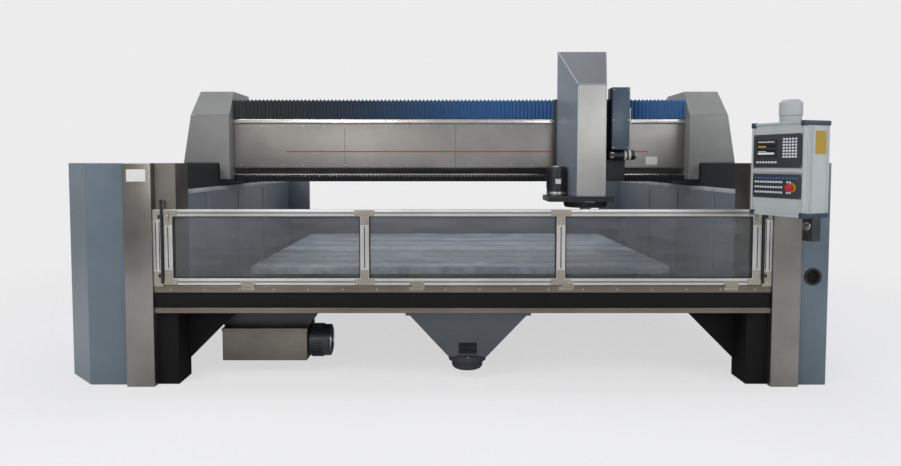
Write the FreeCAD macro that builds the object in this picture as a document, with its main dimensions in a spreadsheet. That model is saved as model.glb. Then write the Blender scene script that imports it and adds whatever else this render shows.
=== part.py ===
"""Gantry stone engraving machine: a bed of two side walls with a water basin and work table between
them, a front guard that folds down, a gantry that runs back along the walls, a saddle on its beam,
an engraving head that rises and falls, and a swivelling control box.

Places are worked out from the middle of the bed (X), the front of the column trims (Y) and the floor (Z).
"""

import FreeCAD, Part
import math
import os
import re
import Sketcher

# Driving dimensions in millimetres and degrees
SIZES = {
    # bed
    "inner_gap": 4100, "bed_depth": 3700, "wall_w": 570, "cover_h": 200, "wall_clear": 300,
    "column_h": 1600, "column_depth": 244, "brace": 400, "brace_t": 60,
    "pedestal_w": 420, "pedestal_l": 500, "pedestal_back": 400, "foot_r": 60, "foot_h": 60,
    # front trims, fairing and cabinet
    "trim_w": 200, "trim_depth": 66, "trim_inset": 150, "fairing_setback": 50,
    "cabinet_w": 322, "cabinet_step": 66, "cabinet_depth": 900, "port_r": 50, "port_deep": 60, "port_z": 786,
    # basin, sill and table
    "basin_z": 530, "basin_plate": 38, "beam_z": 678, "beam_setback": 22, "sill_h": 47, "front_gap": 15,
    "table_w": 3400, "table_back": 360, "table_front": 700, "table_top": 760, "table_plate": 60,
    "bearer_w": 120, "bearer_inset": 100,
    "rear_plate": 40, "rear_h": 950, "corner_w": 250,
    # drain hopper
    "hopper_x": 42, "hopper_w": 900, "hopper_deep": 400, "hopper_back": 5, "hopper_low_w": 280, "hopper_low_deep": 200,
    "hopper_z": 170, "hopper_wall": 6, "flange_r": 140, "flange_h": 40, "outlet_r": 115, "outlet_h": 65,
    "outlet_round": 30, "hatch_w": 135, "hatch_h": 94, "hatch_z": 190,
    # pump under the basin
    "pump_x": -1810, "pump_y": 300, "pump_w": 640, "pump_deep": 300, "pump_z": 105, "pump_h": 245,
    "bracket_t": 8, "bracket_out": 60, "pump_motor_r": 120, "pump_motor_l": 165,
    # guard gate
    "gate_gap": 8, "post_w": 70, "post_deep": 40, "gate_lift": 6, "gate_h": 540, "gate_t": 45,
    "rail_face": 48, "stile_face": 62, "glass_t": 6, "hinge_r": 7, "hinge_l": 60, "hinge_play": 0.5,
    # rails on the walls and their bellows
    "rail_in": 230, "rail_w": 60, "rail_h": 50, "cover_in": 10, "cover_w": 400, "rail_end": 100,
    "slide_gap": 0.3, "pleat_pitch": 60, "pleat_dip": 12,
    # gantry
    "gantry_y": 1030, "leg_deep": 750, "leg_in": 90, "leg_foot_w": 395, "leg_top_w": 292,
    "leg_slope": 150, "carriage_lift": 8, "beam_y": 1200, "beam_deep": 450,
    "panel_out": 50, "panel_bend": 60, "panel_tuck": 35, "strip_out": 60, "strip_h": 38, "strip_gap": 2,
    "x_rail_t": 20, "x_rail_h": 40, "hood_out": 70,
    # saddle on the beam
    "head_x": 1045, "saddle_left": 230, "saddle_right": 380, "saddle_t": 60, "saddle_gap": 5,
    "block_l": 120, "drive_w": 152, "drive_deep": 150, "drive_h": 522, "drive_in": 3,
    "hose_r": 42, "hose_l": 220, "hose_y": 75,
    # engraving head
    "head_back_w": 420, "head_front_w": 232, "head_deep": 425, "skirt_left": 330, "skirt_right": 200, "skirt_t": 44, "skirt_in": 50,
    "skirt_deep": 350, "brush_r": 170, "brush_h": 50, "spindle_r": 45, "spindle_h": 35,
    "side_motor_r": 80, "side_motor_h": 240, "side_motor_x": 245, "side_motor_y": 200,
    # control box on its arm
    "arm_x": 2108, "arm_reach": 370, "arm_post_x": 2450, "arm_post_y": 240, "arm_post_r": 45,
    "arm_h": 50, "arm_w": 60, "joint_r": 70, "joint_h": 85,
    "box_w": 410, "box_d": 210, "box_h": 600, "box_turn": 68, "coupling_r": 66,
    "face_w": 380, "face_t": 6, "upper_face_h": 215, "lower_face_h": 155,
    "handle_out": 55, "handle_bar": 20, "handle_t": 30, "handle_h": 450, "handle_foot": 45,
    "wheel_w": 80, "wheel_d": 70, "wheel_h": 150, "wheel_out": 10, "wheel_r": 28, "wheel_dial": 14,
}

# Heights in millimetres, measured up from the column tops
RISES = {
    "leg_low": -140, "leg_knee": 410, "leg_top": 622, "beam_low": -160, "beam_top": 530,
    "panel_low": -100, "panel_high": 340, "upper_rail_z": 440, "lower_rail_z": -150,
    "hood_low": 385, "hood_top": 550, "under_low": -160, "under_top": -104,
    "saddle_low": -155, "saddle_top": 545, "drive_low": 110,
    "head_low": -270, "head_front_top": 627, "head_top": 949,
    "arm_low": 325, "box_z": -340, "upper_face_z": -30, "lower_face_z": -225, "handle_z": -300,
}

NAMES = re.compile(r"\b(" + "|".join(sorted([*SIZES, *RISES], key=len, reverse=True)) + r")\b")

doc = FreeCAD.newDocument("stone_engraving_machine")
sheet = doc.addObject("Spreadsheet::Sheet", "Sizes")
for row, (alias, number) in enumerate([*SIZES.items(), *RISES.items()], start=1):
    sheet.set(f"A{row}", str(number))
    sheet.setAlias(f"A{row}", alias)
doc.recompute()

# The origin lies on the floor under the middle of the whole machine, control box included
SHIFT_X = "(cabinet_w / 2)"
BOX_REACH = "(arm_reach + (box_w * sin(box_turn * 1deg) + box_d * cos(box_turn * 1deg)) / 2)"
SHIFT_Y = f"(-(bed_depth - {BOX_REACH}) / 2)"
nodes = []


def bind(text):
    """The expression with each name pointed at its cell, and each rise added to the column's height."""
    def cell(found):
        alias = found.group(1)
        return f"(Sizes.column_h + Sizes.{alias})" if alias in RISES else f"Sizes.{alias}"

    return NAMES.sub(cell, str(text))


def read(alias):
    """The number in a size's cell, or the height that a rise reaches."""
    number = float(sheet.get(alias))
    return number + float(sheet.get("column_h")) if alias in RISES else number


def place(item, x="0", y="0", z="0", turn=None):
    """Puts an object at a point of the machine, turned about the vertical."""
    item.setExpression("Placement.Base.x", bind(f"{x} + {SHIFT_X}"))
    item.setExpression("Placement.Base.y", bind(f"{y} + {SHIFT_Y}"))
    item.setExpression("Placement.Base.z", bind(z))
    if turn is not None:
        item.Placement = FreeCAD.Placement(FreeCAD.Vector(), FreeCAD.Rotation(FreeCAD.Vector(0, 0, 1), 1))
        item.setExpression("Placement.Rotation.Angle", bind(turn))
    return item


def box(name, size, at):
    """A block of the given length, width and height with its lowest corner at a point."""
    item = doc.addObject("Part::Box", name)
    for key, text in zip(("Length", "Width", "Height"), size):
        item.setExpression(key, bind(text))
    return place(item, *at)


def upright(name, radius, height, at):
    """A vertical round bar standing on a point."""
    item = doc.addObject("Part::Cylinder", name)
    item.setExpression("Radius", bind(radius))
    item.setExpression("Height", bind(height))
    return place(item, *at)


def level(name, radius, length, at):
    """A round bar lying along X from a point."""
    item = doc.addObject("Part::Cylinder", name)
    item.Placement = FreeCAD.Placement(FreeCAD.Vector(), FreeCAD.Rotation(FreeCAD.Vector(0, 1, 0), 90))
    item.setExpression("Radius", bind(radius))
    item.setExpression("Height", bind(length))
    return place(item, *at)


def profile(name, plane, corners, depth, at=("0", "0", "0"), turn=None):
    """A closed outline of straight sides on the XY, XZ or YZ plane, padded towards +Z, +Y or +X."""
    body = doc.addObject("PartDesign::Body", name)
    outline = body.newObject("Sketcher::SketchObject", f"{name}_outline")
    origin_plane = [f for f in body.Origin.OriginFeatures if f.Role == f"{plane}_Plane"][0]
    outline.AttachmentSupport = (origin_plane, [""])
    outline.MapMode = "FlatFace"
    count = len(corners)
    ring = [
        FreeCAD.Vector(100 * math.cos(2 * math.pi * i / count), 100 * math.sin(2 * math.pi * i / count), 0)
        for i in range(count)
    ]
    for i in range(count):
        outline.addGeometry(Part.LineSegment(ring[i], ring[(i + 1) % count]), False)
    for i in range(count):
        outline.addConstraint(Sketcher.Constraint("Coincident", i, 2, (i + 1) % count, 1))
    for i, (across, up) in enumerate(corners):
        for kind, text, start in (("DistanceX", across, ring[i].x), ("DistanceY", up, ring[i].y)):
            number = outline.addConstraint(Sketcher.Constraint(kind, -1, 1, i, 1, start))
            outline.renameConstraint(number, f"{kind}_{i}")
            outline.setExpression(f"Constraints.{kind}_{i}", bind(text))
    pad = body.newObject("PartDesign::Pad", f"{name}_pad")
    pad.Profile = outline
    pad.setExpression("Length", bind(depth))
    pad.Reversed = plane == "XZ"
    return place(body, *at, turn=turn)


def cut(name, base, *tools):
    """The base with the tools taken out of it."""
    tool = tools[0] if len(tools) == 1 else join(f"{name}_tools", *tools)
    item = doc.addObject("Part::Cut", name)
    item.Base = base
    item.Tool = tool
    return item


def common(name, first, second):
    """What two solids share."""
    item = doc.addObject("Part::Common", name)
    item.Base = first
    item.Tool = second
    return item


def join(name, *pieces):
    """Solids fused to one."""
    item = doc.addObject("Part::MultiFuse", name)
    item.Shapes = list(pieces)
    return item


def group(name, *pieces):
    """Like solids that share a node without touching."""
    item = doc.addObject("Part::Compound", name)
    item.Links = list(pieces)
    return item


def node(item, label):
    """Marks a finished sub-part, whose label names its file."""
    item.Label = label
    nodes.append(item)
    return item


def sided(side, inner, width):
    """Where a block starts in X on the left (-1) or right (1), given its inner face and width."""
    return f"({inner})" if side > 0 else f"(-({inner}) - ({width}))"


SIDES = (("left", -1), ("right", 1))
WALL_IN = "(inner_gap / 2)"
WALL_OUT = f"({WALL_IN} + wall_w)"
TRIM_IN = f"({WALL_IN} + trim_inset)"
TRIM_OUT = f"({TRIM_IN} + trim_w)"
COLUMN_BACK = "(trim_depth + column_depth)"
WALL_TOP = "(column_h - cover_h)"
BASIN_TOP = "(basin_z + basin_plate)"
SILL_TOP = "(beam_z + sill_h)"


# Bed
def side_walls():
    for name, side in SIDES:
        start = sided(side, WALL_IN, "wall_w")
        node(
            box(f"{name}_side_wall", ("wall_w", f"bed_depth - {COLUMN_BACK}", f"{WALL_TOP} - wall_clear"),
                (start, COLUMN_BACK, "wall_clear")),
            f"{name}_side_wall",
        )
        column = box(f"{name}_column_block", ("wall_w", "column_depth", "column_h"), (start, "trim_depth", "0"))
        if side > 0:
            column = cut("right_column_port", column, cable_port())
        node(column, f"{name}_front_column")
        node(
            box(f"{name}_column_trim", ("trim_w", "trim_depth", "column_h"),
                (sided(side, TRIM_IN, "trim_w"), "0", "0")),
            f"{name}_column_trim",
        )


def supports():
    """What carries the walls: box pedestals on screwed feet at the back, and braces behind the front bar."""
    feet, pedestals, braces = [], [], []
    for name, side in SIDES:
        middle = f"({side} * ({WALL_IN} + wall_w / 2))"
        front = "(bed_depth - pedestal_back - pedestal_l)"
        pedestals.append(
            box(f"{name}_pedestal", ("pedestal_w", "pedestal_l", "wall_clear - foot_h"),
                (f"{middle} - pedestal_w / 2", front, "foot_h"))
        )
        for i, share in enumerate(("0.2", "0.8")):
            feet.append(
                upright(f"{name}_foot_{i}", "foot_r", "foot_h", (middle, f"{front} + {share} * pedestal_l", "0"))
            )
        outline = [
            (f"{side} * {WALL_IN}", "basin_z"),
            (f"{side} * ({WALL_IN} - brace)", "basin_z"),
            (f"{side} * {WALL_IN}", "basin_z - brace"),
        ]
        braces.append(
            profile(f"{name}_brace", "XZ", outline, "brace_t", ("0", f"{COLUMN_BACK} - brace_t", "0"))
        )
    node(group("levelling_feet", *feet), "levelling_feet")
    node(group("rear_pedestals", *pedestals), "rear_pedestals")
    node(group("corner_braces", *braces), "corner_braces")


def cable_port():
    """The round cable opening, bored back from the fairing's face into the column."""
    port = doc.getObject("cable_port")
    if port is None:
        port = doc.addObject("Part::Cylinder", "cable_port")
        port.Placement = FreeCAD.Placement(FreeCAD.Vector(), FreeCAD.Rotation(FreeCAD.Vector(1, 0, 0), -90))
        port.setExpression("Radius", bind("port_r"))
        port.setExpression("Height", bind("port_deep"))
        place(port, f"({TRIM_OUT} + {WALL_OUT}) / 2", "fairing_setback", "port_z")
    return port


def fairings():
    outline = [
        (f"-{TRIM_OUT}", "fairing_setback"),
        (f"-{TRIM_OUT}", "trim_depth"),
        (f"-{WALL_OUT}", "trim_depth"),
        (f"-{WALL_OUT}", "fairing_setback + cabinet_w + cabinet_depth"),
        (f"-{WALL_OUT} - cabinet_w", "fairing_setback + cabinet_w + cabinet_depth"),
        (f"-{WALL_OUT} - cabinet_w", "fairing_setback + cabinet_w - cabinet_step"),
        (f"-{WALL_OUT} - cabinet_step", "fairing_setback"),
    ]
    node(profile("left_cabinet", "XY", outline, "column_h"), "left_cabinet")
    plate = box("fairing_plate", (f"{WALL_OUT} - {TRIM_OUT}", "trim_depth - fairing_setback", "column_h"),
                (TRIM_OUT, "fairing_setback", "0"))
    node(cut("right_fairing", plate, cable_port()), "right_fairing")


def basin():
    floor_plate = box("basin_plate_blank", ("inner_gap", "bed_depth - trim_depth", "basin_plate"),
                      (f"-{WALL_IN}", "trim_depth", "basin_z"))
    drain = box("basin_drain", ("hopper_w - 4 * hopper_wall", "hopper_deep - 4 * hopper_wall", "basin_plate"),
                ("hopper_x - (hopper_w - 4 * hopper_wall) / 2", "trim_depth + hopper_back + 2 * hopper_wall", "basin_z"))
    node(cut("basin_floor", floor_plate, drain), "basin_floor")
    node(
        box("front_beam", (f"2 * {TRIM_IN}", "trim_depth - beam_setback", f"beam_z - {BASIN_TOP}"),
            (f"-{TRIM_IN}", "beam_setback", BASIN_TOP)),
        "front_beam",
    )
    node(
        box("front_lip", (f"2 * {TRIM_IN}", "trim_depth - front_gap", "basin_plate"),
            (f"-{TRIM_IN}", "front_gap", "basin_z")),
        "front_lip",
    )
    node(
        box("front_sill", (f"2 * {TRIM_IN}", "trim_depth - front_gap", "sill_h"),
            (f"-{TRIM_IN}", "front_gap", "beam_z")),
        "front_sill",
    )
    node(
        box("rear_wall", ("inner_gap", "rear_plate", f"rear_h - {BASIN_TOP}"),
            (f"-{WALL_IN}", "bed_depth - rear_plate", BASIN_TOP)),
        "rear_wall",
    )
    corners = [
        box(f"{name}_rear_corner", ("corner_w", "rear_plate", f"{WALL_TOP} - rear_h"),
            (sided(side, f"{WALL_IN} - corner_w", "corner_w"), "bed_depth - rear_plate", "rear_h"))
        for name, side in SIDES
    ]
    node(group("rear_corner_panels", *corners), "rear_corner_panels")


TABLE_DEPTH = "(bed_depth - rear_plate - table_front - table_back)"


def table():
    node(
        box("work_table", ("table_w", TABLE_DEPTH, "table_plate"),
            ("-table_w / 2", "table_front", "table_top - table_plate")),
        "work_table",
    )
    reach = "(table_w / 2 - bearer_inset - bearer_w)"
    bearers = [
        box(f"bearer_{i}", ("bearer_w", f"{TABLE_DEPTH} - 2 * bearer_inset", f"table_top - table_plate - {BASIN_TOP}"),
            (f"{share} * {reach} - bearer_w * {lead}", "table_front + bearer_inset", BASIN_TOP))
        for i, (share, lead) in enumerate((("-1", "1"), ("-1/3", "0.5"), ("1/3", "0.5"), ("1", "0")))
    ]
    node(group("table_bearers", *bearers), "table_bearers")


def frustum(low, high, low_z, high_z):
    """A solid of flat faces between two level rectangles, each (x0, y0, x1, y1)."""
    def ring(rectangle, z):
        x0, y0, x1, y1 = rectangle
        return [FreeCAD.Vector(x, y, z) for x, y in ((x0, y0), (x1, y0), (x1, y1), (x0, y1))]

    foot, rim = ring(low, low_z), ring(high, high_z)
    outlines = [foot[::-1], rim] + [[foot[i], foot[(i + 1) % 4], rim[(i + 1) % 4], rim[i]] for i in range(4)]
    faces = [Part.Face(Part.makePolygon([*outline, outline[0]])) for outline in outlines]
    return Part.Solid(Part.Shell(faces))


def hopper():
    wall = read("hopper_wall")
    top_z, low_z = read("basin_z"), read("hopper_z")
    front = read("trim_depth") + read("hopper_back")
    middle = front + read("hopper_deep") / 2
    across = read("hopper_x")

    def rectangle(width, deep, inset):
        half = width / 2 - inset
        return (across - half, middle - deep / 2 + inset, across + half, middle + deep / 2 - inset)

    outer = frustum(rectangle(read("hopper_low_w"), read("hopper_low_deep"), 0),
                    rectangle(read("hopper_w"), read("hopper_deep"), 0), low_z, top_z)
    inner = frustum(rectangle(read("hopper_low_w"), read("hopper_low_deep"), wall),
                    rectangle(read("hopper_w"), read("hopper_deep"), 2 * wall), low_z, top_z)
    hatch = Part.makeBox(read("hatch_w"), middle - front, read("hatch_h"),
                         FreeCAD.Vector(across - read("hatch_w") / 2, front, read("hatch_z")))
    item = doc.addObject("Part::Feature", "drain_hopper")
    item.Shape = outer.cut(inner).cut(hatch)
    place(item)
    node(item, "drain_hopper")
    middle_y = "trim_depth + hopper_back + hopper_deep / 2"
    pipe = upright("outlet_pipe", "outlet_r", "outlet_h", ("hopper_x", middle_y, "hopper_z - flange_h - outlet_h"))
    doc.recompute()
    bowl = doc.addObject("Part::Fillet", "outlet_bowl")
    bowl.Base = pipe
    rims = [i + 1 for i, e in enumerate(pipe.Shape.Edges) if e.BoundBox.ZLength < 1 and e.BoundBox.XLength > 1]
    low = min(rims, key=lambda i: pipe.Shape.Edges[i - 1].BoundBox.ZMax)
    bowl.Edges = [(low, read("outlet_round"), read("outlet_round"))]
    node(
        join("hopper_outlet", bowl,
             upright("outlet_flange", "flange_r", "flange_h", ("hopper_x", middle_y, "hopper_z - flange_h"))),
        "hopper_outlet",
    )


def pump():
    node(box("pump_box", ("pump_w", "pump_deep", "pump_h"), ("pump_x", "pump_y", "pump_z")), "pump_box")
    node(
        level("pump_motor", "pump_motor_r", "pump_motor_l",
              ("pump_x + pump_w", "pump_y + pump_deep / 2", "pump_z + pump_h / 2")),
        "pump_motor",
    )
    outline = [
        ("pump_x", "pump_z + pump_h"),
        ("pump_x + pump_w", "pump_z + pump_h"),
        ("pump_x + pump_w + 2 * bracket_out", "basin_z"),
        ("pump_x - bracket_out", "basin_z"),
    ]
    plates = [
        profile(f"bracket_plate_{i}", "XZ", outline, "bracket_t", ("0", where, "0"))
        for i, where in enumerate(("pump_y + bracket_out", "pump_y + pump_deep - bracket_out - bracket_t"))
    ]
    node(group("pump_bracket", *plates), "pump_bracket")


# Guard gate
GATE_HALF = f"({TRIM_IN} - post_w - gate_gap)"
GATE_LOW = f"({SILL_TOP} + gate_lift)"
HINGE_Y = "(front_gap - hinge_r)"
HINGE_Z = f"({SILL_TOP} + gate_lift / 2)"
HINGE_PLACES = ("-0.74", "-0.17", "0.33", "0.88")


def gate():
    posts = [
        box(f"{name}_gate_post", ("post_w", "post_deep", "gate_h + gate_lift"),
            (sided(side, f"{TRIM_IN} - post_w", "post_w"), "front_gap", SILL_TOP))
        for name, side in SIDES
    ]
    node(group("gate_posts", *posts), "gate_posts")

    blank = box("gate_blank", (f"2 * {GATE_HALF}", "gate_t", "gate_h"), (f"-{GATE_HALF}", "front_gap", GATE_LOW))
    bay = f"((2 * {GATE_HALF} - 4 * stile_face) / 3)"
    bay_h = "(gate_h - 2 * rail_face)"
    bays, panes = [], []
    for i in range(3):
        start = f"-{GATE_HALF} + stile_face + {i} * ({bay} + stile_face)"
        bays.append(
            box(f"gate_bay_{i}", (bay, "gate_t", bay_h), (start, "front_gap", f"{GATE_LOW} + rail_face"))
        )
        panes.append(
            box(f"gate_pane_{i}", (bay, "glass_t", bay_h),
                (start, "front_gap + (gate_t - glass_t) / 2", f"{GATE_LOW} + rail_face"))
        )
    node(cut("gate_frame", blank, *bays), "gate_frame")
    node(group("gate_glass", *panes), "gate_glass")

    leaves, knuckles = [], []
    for i, share in enumerate(HINGE_PLACES):
        start = f"{share} * {GATE_HALF}"
        leaves.append(
            join(f"gate_leaf_{i}",
                 level(f"leaf_barrel_{i}", "hinge_r", "hinge_l", (start, HINGE_Y, HINGE_Z)),
                 box(f"leaf_tab_{i}", ("hinge_l", "hinge_r", "2 * hinge_r + gate_lift"), (start, HINGE_Y, HINGE_Z)))
        )
        beside = f"{start} + hinge_l + hinge_play"
        knuckles.append(
            join(f"sill_leaf_{i}",
                 level(f"sill_barrel_{i}", "hinge_r", "hinge_l / 2", (beside, HINGE_Y, HINGE_Z)),
                 box(f"sill_tab_{i}", ("hinge_l / 2", "hinge_r", "2 * hinge_r + gate_lift"),
                     (beside, HINGE_Y, f"{HINGE_Z} - 2 * hinge_r - gate_lift")))
        )
    node(group("gate_hinge_leaves", *leaves), "gate_hinge_leaves")
    node(group("sill_hinge_leaves", *knuckles), "sill_hinge_leaves")


# Rails and bellows on the side walls
COVER_IN = f"({WALL_IN} + cover_in)"
CARRIAGE_Y = "gantry_y"


def pleated(start, end, low, high, along):
    """A bellows with straight folds. Along X its front is folded and low and high are (y, z) corners;
    along Y its top is folded and they are (x, z) corners."""
    dip = read("pleat_dip")
    pleats = max(2, round((end - start) / read("pleat_pitch")))
    step = (end - start) / (2 * pleats)
    places = [start + i * step for i in range(2 * pleats + 1)]
    if along == "X":
        ridge = [FreeCAD.Vector(x, low[0] + (dip if i % 2 == 0 else 0), low[1]) for i, x in enumerate(places)]
        base = [FreeCAD.Vector(end, high[0], low[1]), FreeCAD.Vector(start, high[0], low[1])]
        reach = FreeCAD.Vector(0, 0, high[1] - low[1])
    else:
        ridge = [FreeCAD.Vector(low[0], y, high[1] - (dip if i % 2 == 0 else 0)) for i, y in enumerate(places)]
        base = [FreeCAD.Vector(low[0], end, low[1]), FreeCAD.Vector(low[0], start, low[1])]
        reach = FreeCAD.Vector(high[0] - low[0], 0, 0)
    outline = [*ridge, *base, ridge[0]]
    return Part.Face(Part.makePolygon(outline)).extrude(reach)


def rails():
    bars = [
        box(f"{name}_wall_rail", ("rail_w", f"bed_depth - {COLUMN_BACK} - rail_end", "rail_h"),
            (sided(side, f"{WALL_IN} + rail_in", "rail_w"), COLUMN_BACK, WALL_TOP))
        for name, side in SIDES
    ]
    node(group("wall_rails", *bars), "wall_rails")


def wall_bellows():
    gap = read("slide_gap")
    back = read("trim_depth") + read("column_depth")
    carriage = read("gantry_y")
    inner = read("inner_gap") / 2
    wall_top = read("column_h") - read("cover_h")
    low_z, high_z = wall_top + gap, read("column_h")
    spans = {
        "front_wall_bellows": (back + gap, carriage - gap),
        "rear_wall_bellows": (carriage + read("leg_deep") + gap, read("bed_depth") - read("rail_end")),
    }
    for name, (start, end) in spans.items():
        solids = []
        for side in (-1, 1):
            faces = sorted((side * (inner + read("cover_in")), side * (inner + read("cover_in") + read("cover_w"))))
            bellows = pleated(start, end, (faces[0], low_z), (faces[1], high_z), "Y")
            rail = sorted((side * (inner + read("rail_in")), side * (inner + read("rail_in") + read("rail_w"))))
            channel = Part.makeBox(rail[1] - rail[0] + 2 * gap, end - start, read("rail_h") + gap,
                                   FreeCAD.Vector(rail[0] - gap, start, wall_top))
            solids.append(bellows.cut(channel))
        item = doc.addObject("Part::Feature", name)
        item.Shape = Part.makeCompound(solids)
        place(item)
        node(item, name)


# Gantry
LEG_IN = f"({WALL_IN} - leg_in)"
LEG_OUT = f"({LEG_IN} + leg_foot_w)"


def end_carriages():
    carriages = []
    for name, side in SIDES:
        block = box(f"{name}_carriage_block", ("cover_w", "leg_deep", "cover_h - carriage_lift"),
                    (sided(side, COVER_IN, "cover_w"), CARRIAGE_Y, f"{WALL_TOP} + carriage_lift"))
        groove = box(f"{name}_carriage_groove",
                     ("rail_w + 2 * slide_gap", "leg_deep", "rail_h + slide_gap - carriage_lift"),
                     (sided(side, f"{WALL_IN} + rail_in - slide_gap", "rail_w + 2 * slide_gap"), CARRIAGE_Y,
                      f"{WALL_TOP} + carriage_lift"))
        carriages.append(cut(f"{name}_end_carriage", block, groove))
    node(group("end_carriages", *carriages), "end_carriages")


def legs():
    for name, side in SIDES:
        face = [
            (f"{side} * {LEG_IN}", "leg_low"),
            (f"{side} * ({COVER_IN} - carriage_lift)", "leg_low"),
            (f"{side} * ({COVER_IN} - carriage_lift)", "column_h"),
            (f"{side} * {LEG_OUT}", "column_h"),
            (f"{side} * ({LEG_IN} + leg_top_w)", "leg_top"),
            (f"{side} * {LEG_IN}", "leg_top"),
        ]
        flank = [
            ("gantry_y", "leg_low"),
            ("gantry_y + leg_deep", "leg_low"),
            ("gantry_y + leg_deep", "leg_knee"),
            ("gantry_y + leg_deep - leg_slope", "leg_top"),
            ("gantry_y + leg_slope", "leg_top"),
            ("gantry_y", "leg_knee"),
        ]
        across = profile(f"{name}_leg_face", "XZ", face, "leg_deep", ("0", "gantry_y", "0"))
        along = profile(f"{name}_leg_flank", "YZ", flank, "leg_foot_w",
                        (sided(side, LEG_IN, "leg_foot_w"), "0", "0"))
        node(common(f"{name}_gantry_leg", across, along), f"{name}_gantry_leg")


def beam():
    node(
        box("gantry_beam", (f"2 * {LEG_IN}", "beam_deep", "beam_top - beam_low"), (f"-{LEG_IN}", "beam_y", "beam_low")),
        "gantry_beam",
    )
    section = [
        ("beam_y", "panel_high"),
        ("beam_y - panel_out", "panel_high"),
        ("beam_y - panel_out", "panel_low + panel_bend"),
        ("beam_y - panel_out + panel_tuck", "panel_low"),
        ("beam_y", "panel_low"),
    ]
    node(
        profile("beam_panel", "YZ", section, f"2 * {LEG_IN}", (f"-{LEG_IN}", "0", "0")), "beam_panel"
    )
    node(
        box("beam_strip", (f"2 * {LEG_IN}", "strip_out", "strip_h"),
            (f"-{LEG_IN}", "beam_y - strip_out", "panel_high + strip_gap")),
        "beam_strip",
    )
    bars = [
        box(f"{name}_beam_rail", (f"2 * {LEG_IN}", "x_rail_t", "x_rail_h"),
            (f"-{LEG_IN}", "beam_y - x_rail_t", f"{name}_rail_z"))
        for name in ("upper", "lower")
    ]
    node(group("beam_rails", *bars), "beam_rails")


def beam_bellows():
    gap = read("slide_gap")
    leg = read("inner_gap") / 2 - read("leg_in")
    back = read("beam_y") - read("x_rail_t") - gap
    front = read("beam_y") - read("hood_out")
    spans = {
        "left_beam_bellows": (-leg + gap, read("head_x") - read("saddle_left") - gap),
        "right_beam_bellows": (read("head_x") + read("saddle_right") + gap, leg - gap),
    }
    for name, (start, end) in spans.items():
        hood = pleated(start, end, (front, read("hood_low")), (back, read("hood_top")), "X")
        under = pleated(start, end, (front, read("under_low")), (back, read("under_top")), "X")
        item = doc.addObject("Part::Feature", name)
        item.Shape = Part.makeCompound([hood, under])
        place(item)
        node(item, name)


# Saddle on the beam
SADDLE_BACK = "(beam_y - strip_out - saddle_gap)"
SADDLE_FRONT = f"({SADDLE_BACK} - saddle_t)"


def saddle():
    node(
        box("saddle_plate", ("saddle_left + saddle_right", "saddle_t", "saddle_top - saddle_low"),
            ("head_x - saddle_left", SADDLE_FRONT, "saddle_low")),
        "saddle_plate",
    )
    blocks = []
    for name in ("upper", "lower"):
        for i, start in enumerate(("head_x - saddle_left", "head_x + saddle_right - block_l")):
            blocks.append(
                box(f"{name}_block_{i}", ("block_l", f"beam_y - x_rail_t - slide_gap - {SADDLE_BACK}", "x_rail_h"),
                    (start, SADDLE_BACK, f"{name}_rail_z"))
            )
    node(group("saddle_blocks", *blocks), "saddle_blocks")
    node(
        box("drive_housing", ("drive_w", "drive_deep", "drive_h"),
            ("head_x + saddle_right - drive_w - drive_in", f"{SADDLE_FRONT} - drive_deep", "drive_low")),
        "drive_housing",
    )
    node(
        level("hose_coupling", "hose_r", "hose_l",
              ("head_x + head_back_w / 2 + 2 * drive_in", f"{SADDLE_FRONT} - hose_y", "drive_low - hose_r - slide_gap")),
        "hose_coupling",
    )


# Engraving head
HEAD_BACK = f"({SADDLE_FRONT} - slide_gap)"
HEAD_FRONT = f"({HEAD_BACK} - head_deep)"


def head():
    plan = [
        ("head_x - head_back_w / 2", HEAD_BACK),
        ("head_x + head_back_w / 2", HEAD_BACK),
        ("head_x + head_front_w / 2", HEAD_FRONT),
        ("head_x - head_front_w / 2", HEAD_FRONT),
    ]
    flank = [
        (HEAD_FRONT, "head_low"),
        (HEAD_BACK, "head_low"),
        (HEAD_BACK, "head_top"),
        (HEAD_FRONT, "head_front_top"),
    ]
    column = profile("head_plan", "XY", plan, "head_top - head_low", ("0", "0", "head_low"))
    slope = profile("head_flank", "YZ", flank, "head_back_w", ("head_x - head_back_w / 2", "0", "0"))
    node(common("head_cover", column, slope), "head_cover")

    skirt_y = f"{HEAD_FRONT} + skirt_in"
    brush = ("head_x", f"{HEAD_FRONT} + skirt_in + skirt_deep / 2")
    node(
        join(
            "head_skirt",
            box("skirt_plate", ("skirt_left + skirt_right", "skirt_deep", "skirt_t"),
                ("head_x - skirt_left", skirt_y, "head_low - skirt_t")),
            upright("skirt_brush", "brush_r", "brush_h", (*brush, "head_low - skirt_t - brush_h")),
        ),
        "head_skirt",
    )
    node(
        upright("spindle_nose", "spindle_r", "spindle_h", (*brush, "head_low - skirt_t - brush_h - spindle_h")),
        "spindle_nose",
    )
    node(
        upright("side_motor", "side_motor_r", "side_motor_h",
                ("head_x - side_motor_x", f"{HEAD_FRONT} + side_motor_y", "head_low")),
        "side_motor",
    )


# Control box on its arm
def control_arm():
    length = "(sqrt((arm_post_x - arm_x)^2 + (arm_post_y + arm_reach)^2))"
    bar = doc.addObject("Part::Box", "arm_bar")
    bar.setExpression("Length", bind(length))
    bar.setExpression("Width", bind("arm_w"))
    bar.setExpression("Height", bind("arm_h"))
    turn = "(atan2(arm_post_y + arm_reach; arm_post_x - arm_x))"
    place(bar, f"arm_x + arm_w / 2 * sin{turn}", f"-arm_reach - arm_w / 2 * cos{turn}", "arm_low", turn=turn)
    node(
        join(
            "control_arm",
            bar,
            upright("arm_post", "arm_post_r", "arm_low + arm_h - column_h", ("arm_post_x", "arm_post_y", "column_h")),
            upright("arm_joint", "joint_r", "joint_h", ("arm_x", "-arm_reach", "arm_low + arm_h - joint_h + 15")),
        ),
        "control_arm",
    )


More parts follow.
